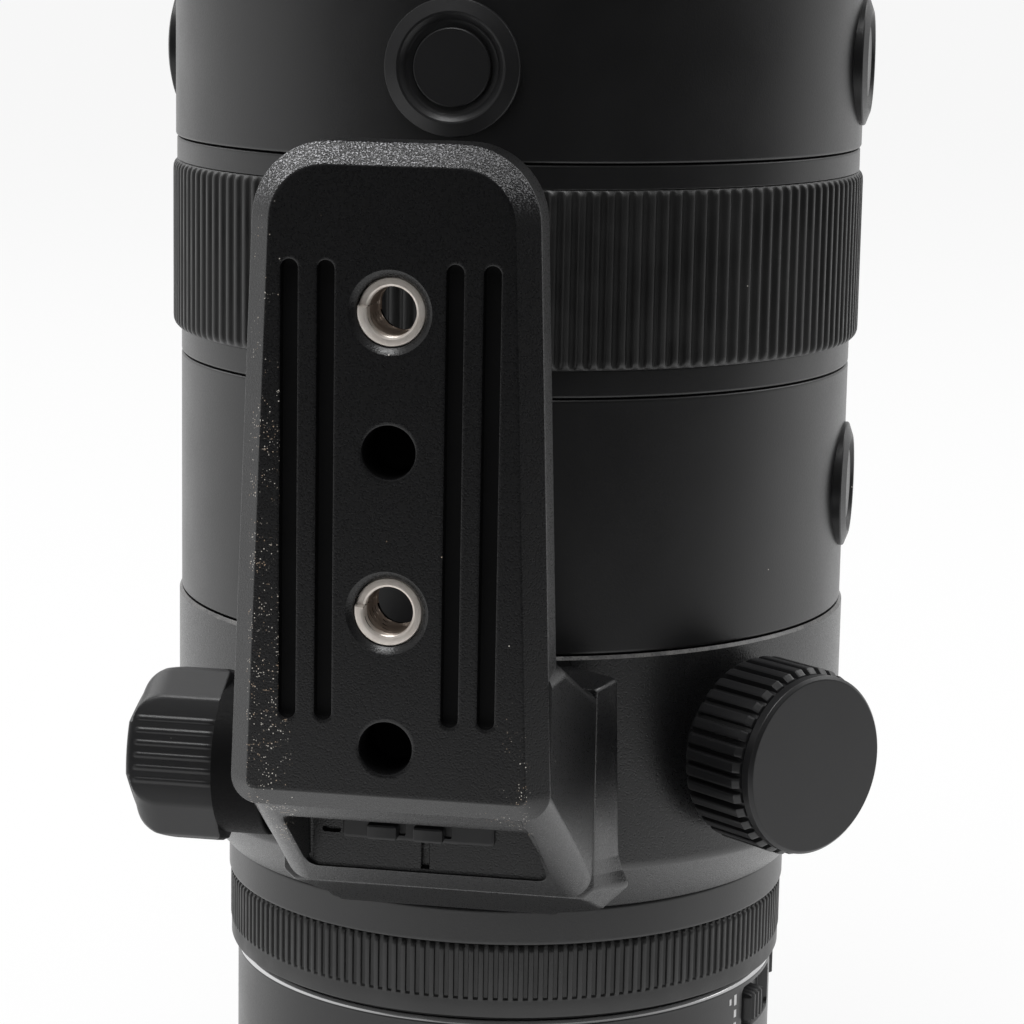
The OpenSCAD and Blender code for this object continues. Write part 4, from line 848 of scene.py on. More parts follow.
class LENS_OT_rear_barrel(Piece):
    """Rear barrel with a polished top edge, two recesses for switches and printed index marks"""

    bl_idname = "lens.rear_barrel"
    bl_label = "Rear barrel"

    def execute(self, context):
        low, high = heights("rear_barrel")
        r, bead = reach("rear_barrel"), high - 0.9
        pockets = [self.pocket(node) for node in SWITCHES]
        half_arc, depth, corner, slope = radians(9.7) * r, 1.3, 1.1, 0.32
        spread, fine = radians(10.4), radians(0.24)
        bands = [(m - half - 0.6, m + half + 0.6) for _, m, half in pockets]
        z = lined(low + 1.2, high - 1.3, bands, 0.14, 12)
        angle = lined(-pi, pi, [(a - spread, a + spread) for a, _, _ in pockets], fine, 193)[:-1]
        foot = rounded(
            [(SHELL_BORE, low), (r - 0.5, low), (r, low + 0.6), (r, low + 1.1)],
            [0, 0.3, 0.4, 0], closed=False)
        head = np.array([
            (r, high - 1.25), (r + 0.02, bead - 0.2), (r - 0.02, bead), (r - 0.42, high - 0.42),
            (r - 0.62, high - 0.34), (r - 0.8, high - 0.3), (r - 0.85, high - 0.05), (r - 0.95, high),
            (SHELL_BORE, high)])
        rows = np.concatenate([foot, np.column_stack([np.full(len(z), r), z]), head])
        turn, height = angle[:, None], rows[None, :, 1]
        sunk = np.zeros((len(angle), len(rows)))
        for centre, middle, half in pockets:
            gap = box_gap((turn - centre) * r, height - middle, half_arc, half, corner)
            sunk = np.maximum(sunk, depth * ease(gap, 0.0, slope))
        wall = (rows[None, :, 0] > r - 0.001) & (height > low + 1.05) & (height < high - 1.2)
        polished = (rows[:, 1] >= bead - 0.01) & (rows[:, 0] > r - 0.6)
        skin = Skin()
        shell = wrapped(turn, rows[None, :, 0] - sunk * wall, height)
        skin.grid(shell, True, True, polished[None, :].astype(int))
        piece = skin.object("rear_barrel_shell", "barrel_paint", "polished_edge")
        dress(piece, "barrel", "barrel_paint", "rear_barrel")
        self.marks(r, *pockets[0][:2])
        return {"FINISHED"}

    @staticmethod
    def pocket(node):
        """Angle, height and half height of the recess in which a switch slides."""
        low, high = limits(node)
        middle = (low + high) / 2
        start = np.degrees(np.arctan2(middle[1], middle[0]))
        return radians(start + SWITCH_TRAVEL / 2), middle[2], (high[2] - low[2]) / 2 + 0.8

    @staticmethod
    def marks(r, centre, height):
        """Short bars printed beside the first switch: patches a hair above the barrel, each with its turn in
        degrees, its ends along the axis and half its width."""
        skin = Skin()
        for off, low, high, width in (
                (-12.6, 1.2, 2.6, 0.30), (-12.6, -0.4, 0.6, 0.30), (-12.6, -2.5, -1.1, 0.30),
                (-14.6, 1.5, 2.3, 0.22), (-14.6, -2.2, -1.4, 0.22)):
            turn = (centre + radians(off) + np.linspace(-width, width, 5) / r)[:, None]
            z = (height + np.linspace(low, high, 4))[None, :]
            skin.slab(wrapped(turn, r + 0.012, z), wrapped(turn, r - 0.05, z))
        piece = skin.object("switch_marks", "printed_mark")
        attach(piece, "barrel")


class LENS_OT_switches(Piece):
    """Two switch sliders: a raised pad whose face is crossed by ridges"""

    bl_idname = "lens.switches"
    bl_label = "Switch sliders"

    def execute(self, context):
        floor, top = reach("rear_barrel") - 1.25, reach("rear_barrel") + 0.95
        half_turn, rise, pitch = radians(4.4), 0.35, 1.15
        for node, body in SWITCHES.items():
            low, high = limits(node)
            middle = (low + high) / 2
            centre = np.arctan2(middle[1], middle[0])
            half_u, half_v = half_turn * top, (high[2] - low[2]) / 2
            u, v = np.linspace(-1, 1, 73)[:, None] * half_u, np.linspace(-1, 1, 33)[None, :] * half_v
            edge = ease(box_gap(u, v, half_u, half_v, 0.9), 0.0, 0.55)
            ridges = rib_wave(u / pitch + 0.5, 0.25, 0.8) * ease(half_u * 0.86 - np.abs(u), 0, 0.4)
            r = floor + (top - rise - floor) * edge + rise * ridges * edge
            skin = Skin()
            skin.grid(wrapped(centre + u / top, r, middle[2] + v), False, False)
            skin.grid(wrapped(centre + u[[0, -1]] / top, floor, middle[2] + v), False, False)
            dress(skin.object(node + "_pad", "black_plastic"), body, "black_plastic", node)
        return {"FINISHED"}


class LENS_OT_control_ring(Piece):
    """Control ring: fine ribs above a plain lip, and the smooth ring that keeps the collar in"""

    bl_idname = "lens.control_ring"
    bl_label = "Control ring"

    def execute(self, context):
        low, high = heights("control_ring") + SEAM_FILL
        r, lip = reach("control_ring"), low + 2.6
        plain, root = r - 0.12, r - 0.34
        rise = r - root
        rows = [
            (CONTROL_BORE, 0, low), (plain - 0.5, 0, low), (plain - 0.12, 0, low + 0.12),
            (plain, 0, low + 0.4), (plain, 0, lip - 0.5), (plain, 0, lip - 0.25), (root, rise - 0.05, lip),
            (root, rise, lip + 0.3), (root, rise, high - 0.9), (root, rise - 0.02, high - 0.55),
            (root - 0.05, rise - 0.2, high - 0.25), (root - 0.1, rise - 0.42, high - 0.02),
            (root - 0.3, 0, high), (CONTROL_BORE, 0, high)]
        skin = Skin()
        skin.grid(ribbed(rows, context.scene.lens_ribs.control, 0.38, 0.66), True, True)
        piece = skin.object("control_ring_ribs", "grip_rubber", sharp=38)
        dress(piece, "control", "black_plastic", "control_ring")
        low, high = heights("collar_retainer") + SEAM_FILL
        skin = Skin()
        skin.grid(turned(ring_profile(SHELL_BORE, reach("collar_retainer"), low, high, 0.35)), True, True)
        piece = skin.object("collar_retainer_ring", "barrel_paint")
        dress(piece, "barrel", "barrel_paint", "collar_retainer")
        return {"FINISHED"}


class LENS_OT_collar(Piece):
    """Tripod collar: a turned band with a cone, the pedestal that flares into it, a boss and a rail"""

    bl_idname = "lens.collar"
    bl_label = "Tripod collar"

    def execute(self, context):
        low, high = heights("collar_ring") + SEAM_FILL
        r, r_low, journal, step = reach("collar_ring"), 37.2, 38.15, 46.45
        profile = rounded(
            [(COLLAR_BORE, low), (r_low, low), (r, BAND), (r, high - 0.42), (r - 0.3, high - 0.02),
             (r - 0.6, high), (journal, high), (journal, step), (COLLAR_BORE, step)],
            [0.02, 0.5, 1.6, 0.08, 0.08, 0.02, 0.1, 0.1, 0.02], 7)
        # The top chamfer is painted lighter grey in patches, as a painted highlight.
        highlit = (profile[:, 0] > r - 0.34) & (profile[:, 1] > high - 0.44)
        skin = Skin()
        skin.grid(turned(profile), True, True, highlit[None, :].astype(int))
        piece = skin.object("collar_band", "collar_paint", "painted_edge_highlight")
        for tool in (self.pedestal(low), self.boss(r), self.rail()):
            carve(piece, tool, "UNION")
        flattened(piece)
        dress(piece, "collar", "crinkle_paint", "collar_ring")
        return {"FINISHED"}

    @staticmethod
    def boss(r):
        """The round boss under the lock knob: a profile turned about the knob's axis."""
        wide, start, end = 7.5, 39.5, r + 2.4
        profile = rounded(
            [(0, start), (wide, start), (wide, end), (0, end)], [0, 0.05, 0.4, 0], closed=False)
        skin = Skin()
        skin.grid(turned(profile, 96))
        skin.placed(facing(LOCK_AZIMUTH), (0, 0, LOCK_HEIGHT))
        return skin.object("boss", "crinkle_paint")

    @staticmethod
    def pedestal(low):
        """Loops across the pedestal, one for each distance from the axis. The right side is a curve over
        the height: the half width, which grows behind the face and is undercut towards the band, plus a
        flare that eases away upwards. The underside falls towards the band between two bevels, and the left
        side is flat for the clamp knob's hub."""
        out = PEDESTAL_FACE - np.array([
            0, 0.08, 0.3, 1.8, 3.4, 4.7, 5.5, 6.1, 6.6, 7.2, 8.0, 9.0, 10.0, 10.7, 12.0, 14.0, 17.0, 20.0])
        inset = np.where(out > 50.95, 0.3, np.where(out > 50.9, 0.1, 0.0))
        width = np.interp(
            out, [31, 40.3, 44.4, 44.9, 45.5, PEDESTAL_FACE],
            [15.4, 15.4, PEDESTAL_EDGE - 0.5, PEDESTAL_EDGE, PEDESTAL_EDGE - 0.1, PEDESTAL_RIGHT])
        flare = np.interp(out, [31, 45, PEDESTAL_FACE], [0.4, PEDESTAL_FLARE, 0])
        base = np.maximum(BAND - 0.5 * (PEDESTAL_FACE - out), low + 0.05)
        bevel = np.interp(out, [44, PEDESTAL_FACE], [3.6, 1.2])
        share = np.linspace(0, 1, 15)
        flare_low, flare_high, lean = 42.5, 50.0, 0.014
        sections = []
        for h, i, half, extra, z0, cut in zip(out, inset, width, flare, base, bevel):
            z = z0 + cut + share * (PEDESTAL_TOP - i - z0 - cut)
            right = half + extra * (1 - ease(z, flare_low, flare_high) - lean * (z - BAND)) - i
            left = np.minimum(right, PEDESTAL_LEFT - i)
            corners = np.concatenate([
                [(right[0] - cut, z0 + i)], np.column_stack([right, z]), np.column_stack([-left, z])[::-1],
                [(cut - left[0], z0 + i)]])
            radii = np.zeros(len(corners))
            radii[[0, 1, -2, -1]] = 0.8
            radii[[len(share), len(share) + 1]] = 0.4
            loop = rounded(corners, radii, 4, 0.1)
            sections.append(np.column_stack([loop, np.full(len(loop), h)]))
        skin = Skin()
        skin.loft(np.stack(sections))
        return skin.placed(FOOT).object("pedestal", "crinkle_paint")

    @staticmethod
    def rail():
        """The dovetail rail that the foot slides on: a trapezium carried along the axis."""
        loop = rounded([(-12, 50.5), (12, 50.5), (14, 55), (-14, 55)], [0.05, 0.05, 0.3, 0.3], 4)
        foot, head = GROOVE_FROM + 0.2, PEDESTAL_TOP
        skin = Skin()
        skin.loft(walls(loop, [(0.3, foot), (0, foot + 0.3), (0, head - 0.3), (0.3, head)]))
        return skin.placed(RAIL).object("rail", "crinkle_paint")


class LENS_OT_collar_lock(Piece):
    """Lock knob of the collar: ribs with bevelled ends, and a smooth cap with a bevelled rim"""

    bl_idname = "lens.collar_lock"
    bl_label = "Collar lock knob"

    def execute(self, context):
        start, length, thick, bore = 45.8, 9.4, 1.8, 3.05
        r = LOCK_RADIUS
        root, rim = r - 0.75, r - 0.55
        rise = r - root
        rows = [
            (bore, 0, 0), (root - 0.6, 0, 0), (root - 0.1, 0.2, 0.15), (root, 0.6, 0.6), (root, rise, 1.0),
            (root, rise, length - 1.0), (root, rise, length - 0.8), (root - 0.12, 0.3, length - 0.12),
            (root - 0.3, 0.12, length), (bore, 0, length)]
        cap = rounded(
            [(0, 0.02), (rim - 0.55, 0.02), (rim - 0.55, 0.3), (rim, 0.3), (rim, thick - 0.4),
             (rim - 0.4, thick - 0.03), (0, thick)],
            [0, 0.05, 0.05, 0.1, 0.2, 0.25, 0], 6, closed=False)
        ribs, top = Skin(), Skin()
        ribs.grid(ribbed(rows, context.scene.lens_ribs.lock, 0.56, 0.76), True, True)
        top.grid(turned(cap, 128))
        look = facing(LOCK_AZIMUTH)
        for skin, name, node, out in (
                (ribs, "lock_knob_ribs", "collar_lock_knob", start),
                (top, "lock_knob_cap", "collar_lock_cap", start + length)):
            skin.placed(look, look[2] * out + (0, 0, LOCK_HEIGHT))
            dress(skin.object(name, "black_plastic"), "collar_lock", "black_plastic", node)
        return {"FINISHED"}


def slope_out(z):
    """Distance of the neck's sloping rear face from the axis at a height."""
    return JAW + (np.asarray(z) - NECK_LOW) * (NECK_TIP - JAW) / (FOOT_REAR - NECK_LOW)


class LENS_OT_foot(Piece):
    """Tripod foot: a bevelled plate with grooves and holes, on a neck with a pocket in its sloping side"""

    bl_idname = "lens.foot"
    bl_label = "Tripod foot"

    def execute(self, context):
        plate, neck = self.plate(context.scene.lens_sizes.groove_depth / MM), self.neck()
        carve(plate, neck, "UNION")
        carve(plate, self.groove(), "DIFFERENCE")
        carve(plate, self.pin_hole(), "DIFFERENCE")
        flattened(plate)
        dress(plate, "foot", "crinkle_paint", "tripod_foot")
        return {"FINISHED"}

    def plate(self, depth):
        """The outline carried through its bevels, with the face filled round grooves and holes."""
        wide, narrow, face, back = 18, 15.4, FOOT_FACE, FOOT_BACK
        outline = rounded(
            [(-wide, FOOT_REAR), (wide, FOOT_REAR), (narrow, FOOT_FRONT), (-narrow, FOOT_FRONT)],
            [3.2, 3.2, 8.5, 8.5], 14)
        skin = Skin()
        grid = walls(outline, [
            (0.9, back), (0.35, back + 0.15), (0.1, back + 0.45), (0, back + 0.9), (0, face - 2.55),
            (0, face - 2.4), (0.02, face - 2.3), (0.1, face - 2.2), (2.28, face - 0.1), (2.36, face - 0.03),
            (2.46, face), (2.8, face)])
        skin.grid(grid, False, True)
        face_loops, back_loops = [grid[-1]], [grid[0]]
        floor = face - depth
        for x in (-11, -7, 7, 11):
            face_loops.append(self.sink(skin, stadium(x, 72.3, 120.5, 0.95), [
                (-0.4, face), (-0.14, face), (-0.03, face - 0.05), (0.0, face - 0.16), (0.02, floor + 0.3),
                (0.12, floor + 0.08), (0.32, floor)]))
        for z in THREADS:
            sunk = walls(circle(4.5, 64, (0, z)), [
                (-0.4, face), (-0.08, face), (0, face - 0.05), (0.5, face - 0.42), (0.68, face - 0.65),
                (0.7, face - 0.9), (0.7, back)])
            skin.grid(sunk, False, True)
            face_loops.append(sunk[0])
            back_loops.append(sunk[-1])
        for z in PIN_HOLES:
            face_loops.append(self.sink(skin, circle(PIN_RADIUS, 64, (0, z)), [
                (-0.5, face), (-0.22, face), (-0.08, face - 0.06), (0, face - 0.24), (0, PIN_FLOOR + 0.3),
                (0.3, PIN_FLOOR)]))
        skin.flat(face_loops)
        skin.flat(back_loops)
        return skin.placed(FOOT).object("foot_body", "crinkle_paint", "inner_black")

    @staticmethod
    def sink(skin, rim, steps):
        """An outline sunk into the face through steps of inset and height, painted over the first three and
        matt black below as painted shade in the groove or hole. Its first loop is the edge to fill the face
        up to."""
        sunk = walls(rim, steps)
        skin.loft(sunk, (-1,), np.repeat([0, 1], [3, len(sunk) - 4])[:, None])
        return sunk[0]

    @staticmethod
    def neck():
        """Rounded rectangles, one for each distance from the axis. Their rear side is left open for the
        flat sloping face, which is filled round the pocket. The pocket's walls run straight in from the
        slope to a flat floor, so it is deep under the plate and ends in nothing below."""
        levels = np.array([
            51.2, 51.3, 51.6, 52.3, JAW, 54.5, 57.0, 60.0, 63.0, 66.0, 67.0, 69.0, 71.0, NECK_TIP])
        jaw_row = 4
        ends = [JAW, NECK_TIP]
        inset = np.where(levels < 51.25, 0.35, np.where(levels < 51.5, 0.12, 0.0))
        left = np.interp(levels, ends, [16.5, 16.6])
        right = np.interp(levels, ends, [PEDESTAL_RIGHT, 17.8])
        rear = np.interp(levels, ends, [NECK_LOW, FOOT_REAR])
        front = np.interp(levels, [JAW, FOOT_BACK], [PEDESTAL_TOP, NECK_HIGH])
        corner = np.interp(levels, [JAW, 60], [2.7, 3.1])
        sections = []
        for h, i, a, b, z0, z1, r in zip(levels, inset, left, right, rear, front, corner):
            loop = rounded(
                [(b - i, z0 + i), (b - i, z1 - i), (i - a, z1 - i), (i - a, z0 + i)],
                [r, 1.6, 1.6, r], 9, 0.1)
            sections.append(np.column_stack([loop, np.full(len(loop), h)]))
        grid = np.stack(sections)
        skin = Skin()
        skin.grid(grid, False, False)
        skin.grid(grid[: jaw_row + 1][:, [-1, 0]], False, False)
        skin.flat([grid[0]])
        skin.flat([grid[-1]])
        slope = np.concatenate([grid[jaw_row:, 0], grid[jaw_row:, -1][::-1]])
        pocket = rounded(
            [(-POCKET_LEFT, POCKET_LOW), (POCKET_RIGHT, POCKET_LOW), (POCKET_RIGHT, POCKET_TOP),
             (-POCKET_LEFT, POCKET_TOP)], [1.3, 1.3, 1.0, 1.0], 7)
        rims = []
        for inwards, share in (
                (-0.28, 0.0), (-0.08, 0.012), (0.0, 0.05), (0.0, 0.9), (0.15, 0.97), (0.4, 1.0)):
            loop = drawn_in(pocket, inwards)
            out = slope_out(loop[:, 1])
            rims.append(np.column_stack([loop, out + share * (POCKET_FLOOR - out)]))
        wall = np.stack(rims)
        skin.grid(wall, False, True)
        skin.flat([slope, wall[0]])
        slit = rounded([(0.28, 49.45), (1.22, 49.45), (1.22, 53.4), (0.28, 53.4)], 0.15, 4)
        oval = stadium(0, -0.75, 0.75, 0.42)[:, ::-1] + (-10.3, 53.6)
        floor = [wall[-1]]
        for loop in (slit, oval):
            sunk = walls(
                loop, [(-0.06, POCKET_FLOOR), (0.02, POCKET_FLOOR - 0.1), (0.05, POCKET_FLOOR - 0.8)])
            skin.loft(sunk, (-1,))
            floor.append(sunk[0])
        skin.flat(floor)
        return skin.placed(FOOT).object("neck", "crinkle_paint")

    @staticmethod
    def pin_hole():
        """The rear pin hole where it runs on into the neck: a circle carried inwards, its wall matt black as
        painted shade.
        """
        rim = circle(PIN_RADIUS - 0.02, 64, (0, PIN_HOLES[1]))
        skin = Skin()
        skin.loft(walls(rim, [(0, PIN_FLOOR + 0.3), (0, FOOT_FACE - 2)]), finish=1)
        return skin.placed(FOOT).object("pin", "crinkle_paint", "inner_black")

    @staticmethod
    def groove():
        """The dovetail groove: the rail's section, grown by its gap and carried out at the neck's front."""
        loop = np.array(
            [(-12.2, 50.0), (12.2, 50.0), (12.2, 51.0), (14.2, 55.2), (-14.2, 55.2), (-12.2, 51.0)])
        skin = Skin()
        skin.loft(walls(loop, [(0, GROOVE_FROM), (0, 99.0)]))
        return skin.placed(RAIL).object("groove", "crinkle_paint")


class LENS_OT_inserts(Piece):
    """Wire thread inserts: a helical thread inside, and a rim that starts with a step"""

    bl_idname = "lens.inserts"
    bl_label = "Thread inserts"

    def execute(self, context):
        """The rim's height falls with the turn. Inside, the radius is the crest plus the depth of the thread
        times a triangle wave of depth over pitch less the turn."""
        pitch = context.scene.lens_sizes.thread_pitch / MM
        count, crest, thread, valley = 120, 2.62, 0.62, 2.98
        turn = (np.arange(count) / count)[:, None]
        angle = turn * 2 * pi + radians(172)
        rim = FOOT_FACE - 0.35 - 0.75 * turn
        end = np.full((count, 1), FOOT_BACK)
        lip_r = np.array([3.74, 3.74, 3.62, 3.4, 2.95, 2.74])
        lip_h = np.concatenate([end, rim + (-0.3, -0.08, 0.0, 0.0, -0.1)], 1)
        depth = rim - 0.3 - np.linspace(0, 1, 64) * (rim - 0.3 - FOOT_BACK - 0.05)
        wave = crest + thread * triangle((FOOT_FACE - depth) / pitch - turn)
        r = np.concatenate([np.broadcast_to(lip_r, lip_h.shape), wave, np.full((count, 1), 2.7)], 1)
        h = np.concatenate([lip_h, depth, end], 1)
        # Painted shade: the thread's roots between the wire's turns take the matt black.
        shaded_roots = (r > valley) & (np.arange(r.shape[1]) > len(lip_r))
        skin = Skin()
        for z in THREADS:
            local = np.stack([r * np.cos(angle), z + r * np.sin(angle), h], -1)
            skin.grid(local, True, True, shaded_roots.astype(int))
        piece = skin.placed(FOOT).object("wire_inserts", "insert_wire", "inner_black", sharp=22)
        dress(piece, "foot", "steel", "foot_inserts")
        return {"FINISHED"}


class LENS_OT_clamp(Piece):
    """Clamp knob of the foot: a pebble with bevelled long sides and raised lines, on a round hub"""

    bl_idname = "lens.clamp"
    bl_label = "Foot clamp knob"

    def execute(self, context):
        """The front is a height over the knob's length x and width z: a shallow curve, less a bevel beyond
        the crease and round corners, plus the lines. The back mirrors it, and the whole is tilted."""
        low, high = limits("foot_clamp_knob")
        middle, inner = (low + high) / 2, -23.1
        end, half, depth, flat, tilt = low[0] - inner, 9.9, 6.95, 6.2, radians(16)
        lines, pitch, line_rise = context.scene.lens_ribs.clamp, 1.42, 0.13
        hub_r, hub_end = 8.9, 5.55
        span = lines * pitch / 2
        z = np.concatenate([
            np.linspace(-half, 0.4 - half, 6), np.linspace(0.7 - half, -span - 0.15, 22),
            np.linspace(-span, span, 20 * lines + 1), np.linspace(span + 0.15, half - 0.7, 22),
            np.linspace(half - 0.4, half, 6)])[:, None]
        away = np.abs(z)
        inset = 0.45 * ease(away, half - 0.5, half) ** 2
        left = end + 0.6 * (away / half) ** 2 + self.corner(half - away, 3.9) + inset
        share = np.concatenate([
            np.linspace(0, 0.3, 22) ** 1.5, np.linspace(0.2, 0.96, 16), np.linspace(0.97, 1, 6)])
        x = left * (1 - share) - inset * share
        crease = flat - self.corner(x - end - 0.6, 3.2)
        out = depth - 0.024 * (np.clip(z, -flat, flat) - 1) ** 2 - np.maximum(away - crease, 0)
        out = out - self.corner(x - left, 0.7) - self.corner(-inset - x, 0.25) - inset
        within = (away < span) * ease(x - end, 0.9, 1.5) * ease(-x, 0.4, 0.8)
        out = out + line_rise * within * rib_wave(z / pitch + 0.5 * lines, 0.12, 0.55)
        front = np.stack([x, out, np.broadcast_to(z, x.shape)], -1)
        grid = np.concatenate([front, (front * (1, -1, 1))[:, ::-1]], 1) + (inner, 0, 0)
        skin = Skin()
        skin.loft(grid @ [[1, 0, 0], [0, cos(tilt), -sin(tilt)], [0, sin(tilt), cos(tilt)]])
        profile = [(0, -0.05), (hub_r, -0.05), (hub_r, hub_end), (0, hub_end)]
        hub = turned(rounded(profile, [0, 0.05, 0.3, 0], closed=False), 96)
        # Painted shade: the hub takes the matt black, standing for the shadow between the knob and the neck.
        skin.grid(np.stack([inner + hub[..., 2], hub[..., 0], hub[..., 1]], -1), finish=1)
        skin.placed(np.eye(3), (0, middle[1], middle[2]))
        piece = skin.object("clamp_knob_body", "black_plastic", "inner_black")
        dress(piece, "foot_clamp", "black_plastic", "foot_clamp_knob")
        return {"FINISHED"}

    @staticmethod
    def corner(inside, radius):
        """How far a round corner falls back at a distance from its tip: the radius less the circle's
        height."""
        short = np.clip(radius - inside, 0, radius)
        return radius - np.sqrt(radius**2 - short**2)


class LENS_OT_latch(Piece):
    """Latch in the neck's pocket: a sliding plate with two thumb tabs"""

    bl_idname = "lens.latch"
    bl_label = "Foot latch"

    def execute(self, context):
        base, half, low, high = POCKET_FLOOR, 8.9, 52.9, 58.3
        face, tip = base + 0.45, base + 1.85
        skin = Skin()
        plate = rounded([(-half, low), (half, low), (half, high), (-half, high)], 0.5, 5)
        sides = walls(
            plate, [(0, base + 0.02), (0, face - 0.2), (0.06, face - 0.06), (0.2, face), (0.4, face)])
        skin.loft(sides, (0,))
        tops = [sides[-1]]
        for x in (-5.8, -0.4):
            slot = rounded([(x + 3.45, 53.5), (x + 4.3, 53.5), (x + 4.3, 55.2), (x + 3.45, 55.2)], 0.15, 4)
            sunk = walls(slot, [(0, face), (0.03, face - 0.05), (0.04, base + 0.06)])
            skin.loft(sunk, (-1,))
            tops.append(sunk[0])
            tab = rounded([(x, 53.2), (x + 3.5, 53.2), (x + 3.5, 55.0), (x, 55.0)], 0.3, 5)
            skin.loft(walls(tab, [(0, face - 0.3), (0, tip - 0.3), (0.06, tip - 0.1), (0.25, tip)]))
        skin.flat(tops)
        piece = skin.placed(FOOT).object("latch_tabs", "black_plastic")
        dress(piece, "latch", "black_plastic", "foot_latch")
        return {"FINISHED"}


class LENS_OT_barrels(Piece):
    """Middle barrel with its display window, and the button barrel"""

    bl_idname = "lens.barrels"
    bl_label = "Middle and button barrels"

    def execute(self, context):
        edge = context.scene.lens_sizes.edge / MM
        for node, bore in (("middle_barrel", MIDDLE_BORE), ("button_barrel", FRONT_BORE)):
            low, high = heights(node) + SEAM_FILL
            skin = Skin()
            skin.grid(turned(ring_profile(bore, reach(node), low, high, edge)), True, True)
            dress(skin.object(node + "_shell", "barrel_paint"), "barrel", "barrel_paint", node)
        self.window(reach("middle_barrel"))
        return {"FINISHED"}

    @staticmethod
    def window(r):
        """A square grid whose sides bend in towards its corners, laid on the barrel. Its edges ease down."""
        low, high = heights("display_window")
        half_turn, bend, lift = radians(22.8), 0.10, 0.14
        u, v = np.linspace(-1, 1, 65)[:, None], np.linspace(-1, 1, 17)[None, :]
        turn = pi / 2 + half_turn * u * np.sqrt(1 - bend * v**8)
        z = (low + high) / 2 + (high - low) / 2 * v * np.sqrt(1 - bend * u**8)
        inside = ease(1 - np.maximum(np.abs(u) ** 6, np.abs(v) ** 6), 0, 0.25)
        skin = Skin()
        skin.slab(wrapped(turn, r - 0.06 + lift * inside, z), wrapped(turn, r - 0.3, z))
        piece = skin.object("display_panel", "window_gloss")
        dress(piece, "barrel", "window_plastic", "display_window")


class LENS_OT_buttons(Piece):
    """Round function buttons, each in a bezel with a bevelled rim and a dish"""

    bl_idname = "lens.buttons"
    bl_label = "Function buttons"

    def execute(self, context):
        places = [
            ("front_button_%d" % i, "front_key_%d" % i, (i - 1) * 90, "button_barrel") for i in range(1, 5)]
        places.append(("function_button", "function_key", 90, "middle_barrel"))
        hole, rim, button = 4.62, 7.9, 4.5
        bezel = rounded(
            [(hole, -1.5), (rim, -1.5), (rim, 0.3), (rim - 0.1, 0.45), (6.35, 0.98), (6.1, 0.9),
             (5.35, 0.08), (hole, -0.1)],
            [0.02, 0.02, 0.05, 0.06, 0.12, 0.15, 0.6, 0.1], 7, 0.05)
        cap = rounded(
            [(0, -1.4), (button, -1.4), (button, 0.5), (button - 0.12, 0.62), (0, 0.66)],
            [0, 0.02, 0.06, 0.2, 0], 6, 0.1, False)
        rims = Skin()
        for node, body, azimuth, barrel in places:
            look = facing(azimuth)
            origin = look[2] * reach(barrel) + (0, 0, heights(node).mean())
            rims.grid(turned(bezel, 96) @ look + origin, True, True)
            skin = Skin()
            skin.grid(turned(cap, 96))
            piece = skin.placed(look, origin).object(node + "_cap", "black_plastic")
            dress(piece, body, "black_plastic", node)
        piece = rims.object("button_bezel_rims", "black_plastic")
        dress(piece, "barrel", "black_plastic", "button_bezels")
        return {"FINISHED"}


class LENS_OT_grip_rings(Piece):
    """Focus and zoom rings: a painted ring with plain lips, and a ribbed rubber grip on it"""

    bl_idname = "lens.grip_rings"
    bl_label = "Focus and zoom rings"

    def execute(self, context):
        ribs, edge = context.scene.lens_ribs, context.scene.lens_sizes.edge / MM
        for ring, grip, body, count, rear, front in (
                ("focus_ring", "focus_grip", "focus_turn", ribs.focus, 42.8, 43.35),
                ("zoom_ring", "zoom_grip", "zoom_turn", ribs.zoom, 43.9, 43.9)):
            low, high = heights(ring) + SEAM_FILL
            start, stop = heights(grip)
            seat, rise = min(rear, front) - 0.4, 0.44
            root = reach(grip) - rise
            skin = Skin()
            skin.grid(turned(rounded(
                [(GRIP_BORE, low), (rear, low), (rear, start), (seat, start), (seat, stop), (front, stop),
                 (front, high), (GRIP_BORE, high)],
                [0.02, edge, 0.12, 0.05, 0.05, 0.12, edge, 0.02])), True, True)
            dress(skin.object(ring + "_shell", "barrel_paint"), body, "barrel_paint", ring)
            end = np.array([
                (seat + 0.05, 0, 0), (root - 0.35, 0, 0), (root - 0.12, 0, 0.05), (root, 0.05, 0.2),
                (root, 0.62 * rise, 0.45), (root, 0.92 * rise, 0.8), (root, rise, 1.3)])
            rows = np.concatenate([end + (0, 0, start), end[::-1] * (1, 1, -1) + (0, 0, stop)])
            skin = Skin()
            skin.grid(ribbed(rows, count, 0.28, 0.82), True, True)
            dress(skin.object(grip + "_ribs", "grip_rubber", sharp=50), body, "grip_rubber", grip)
        return {"FINISHED"}


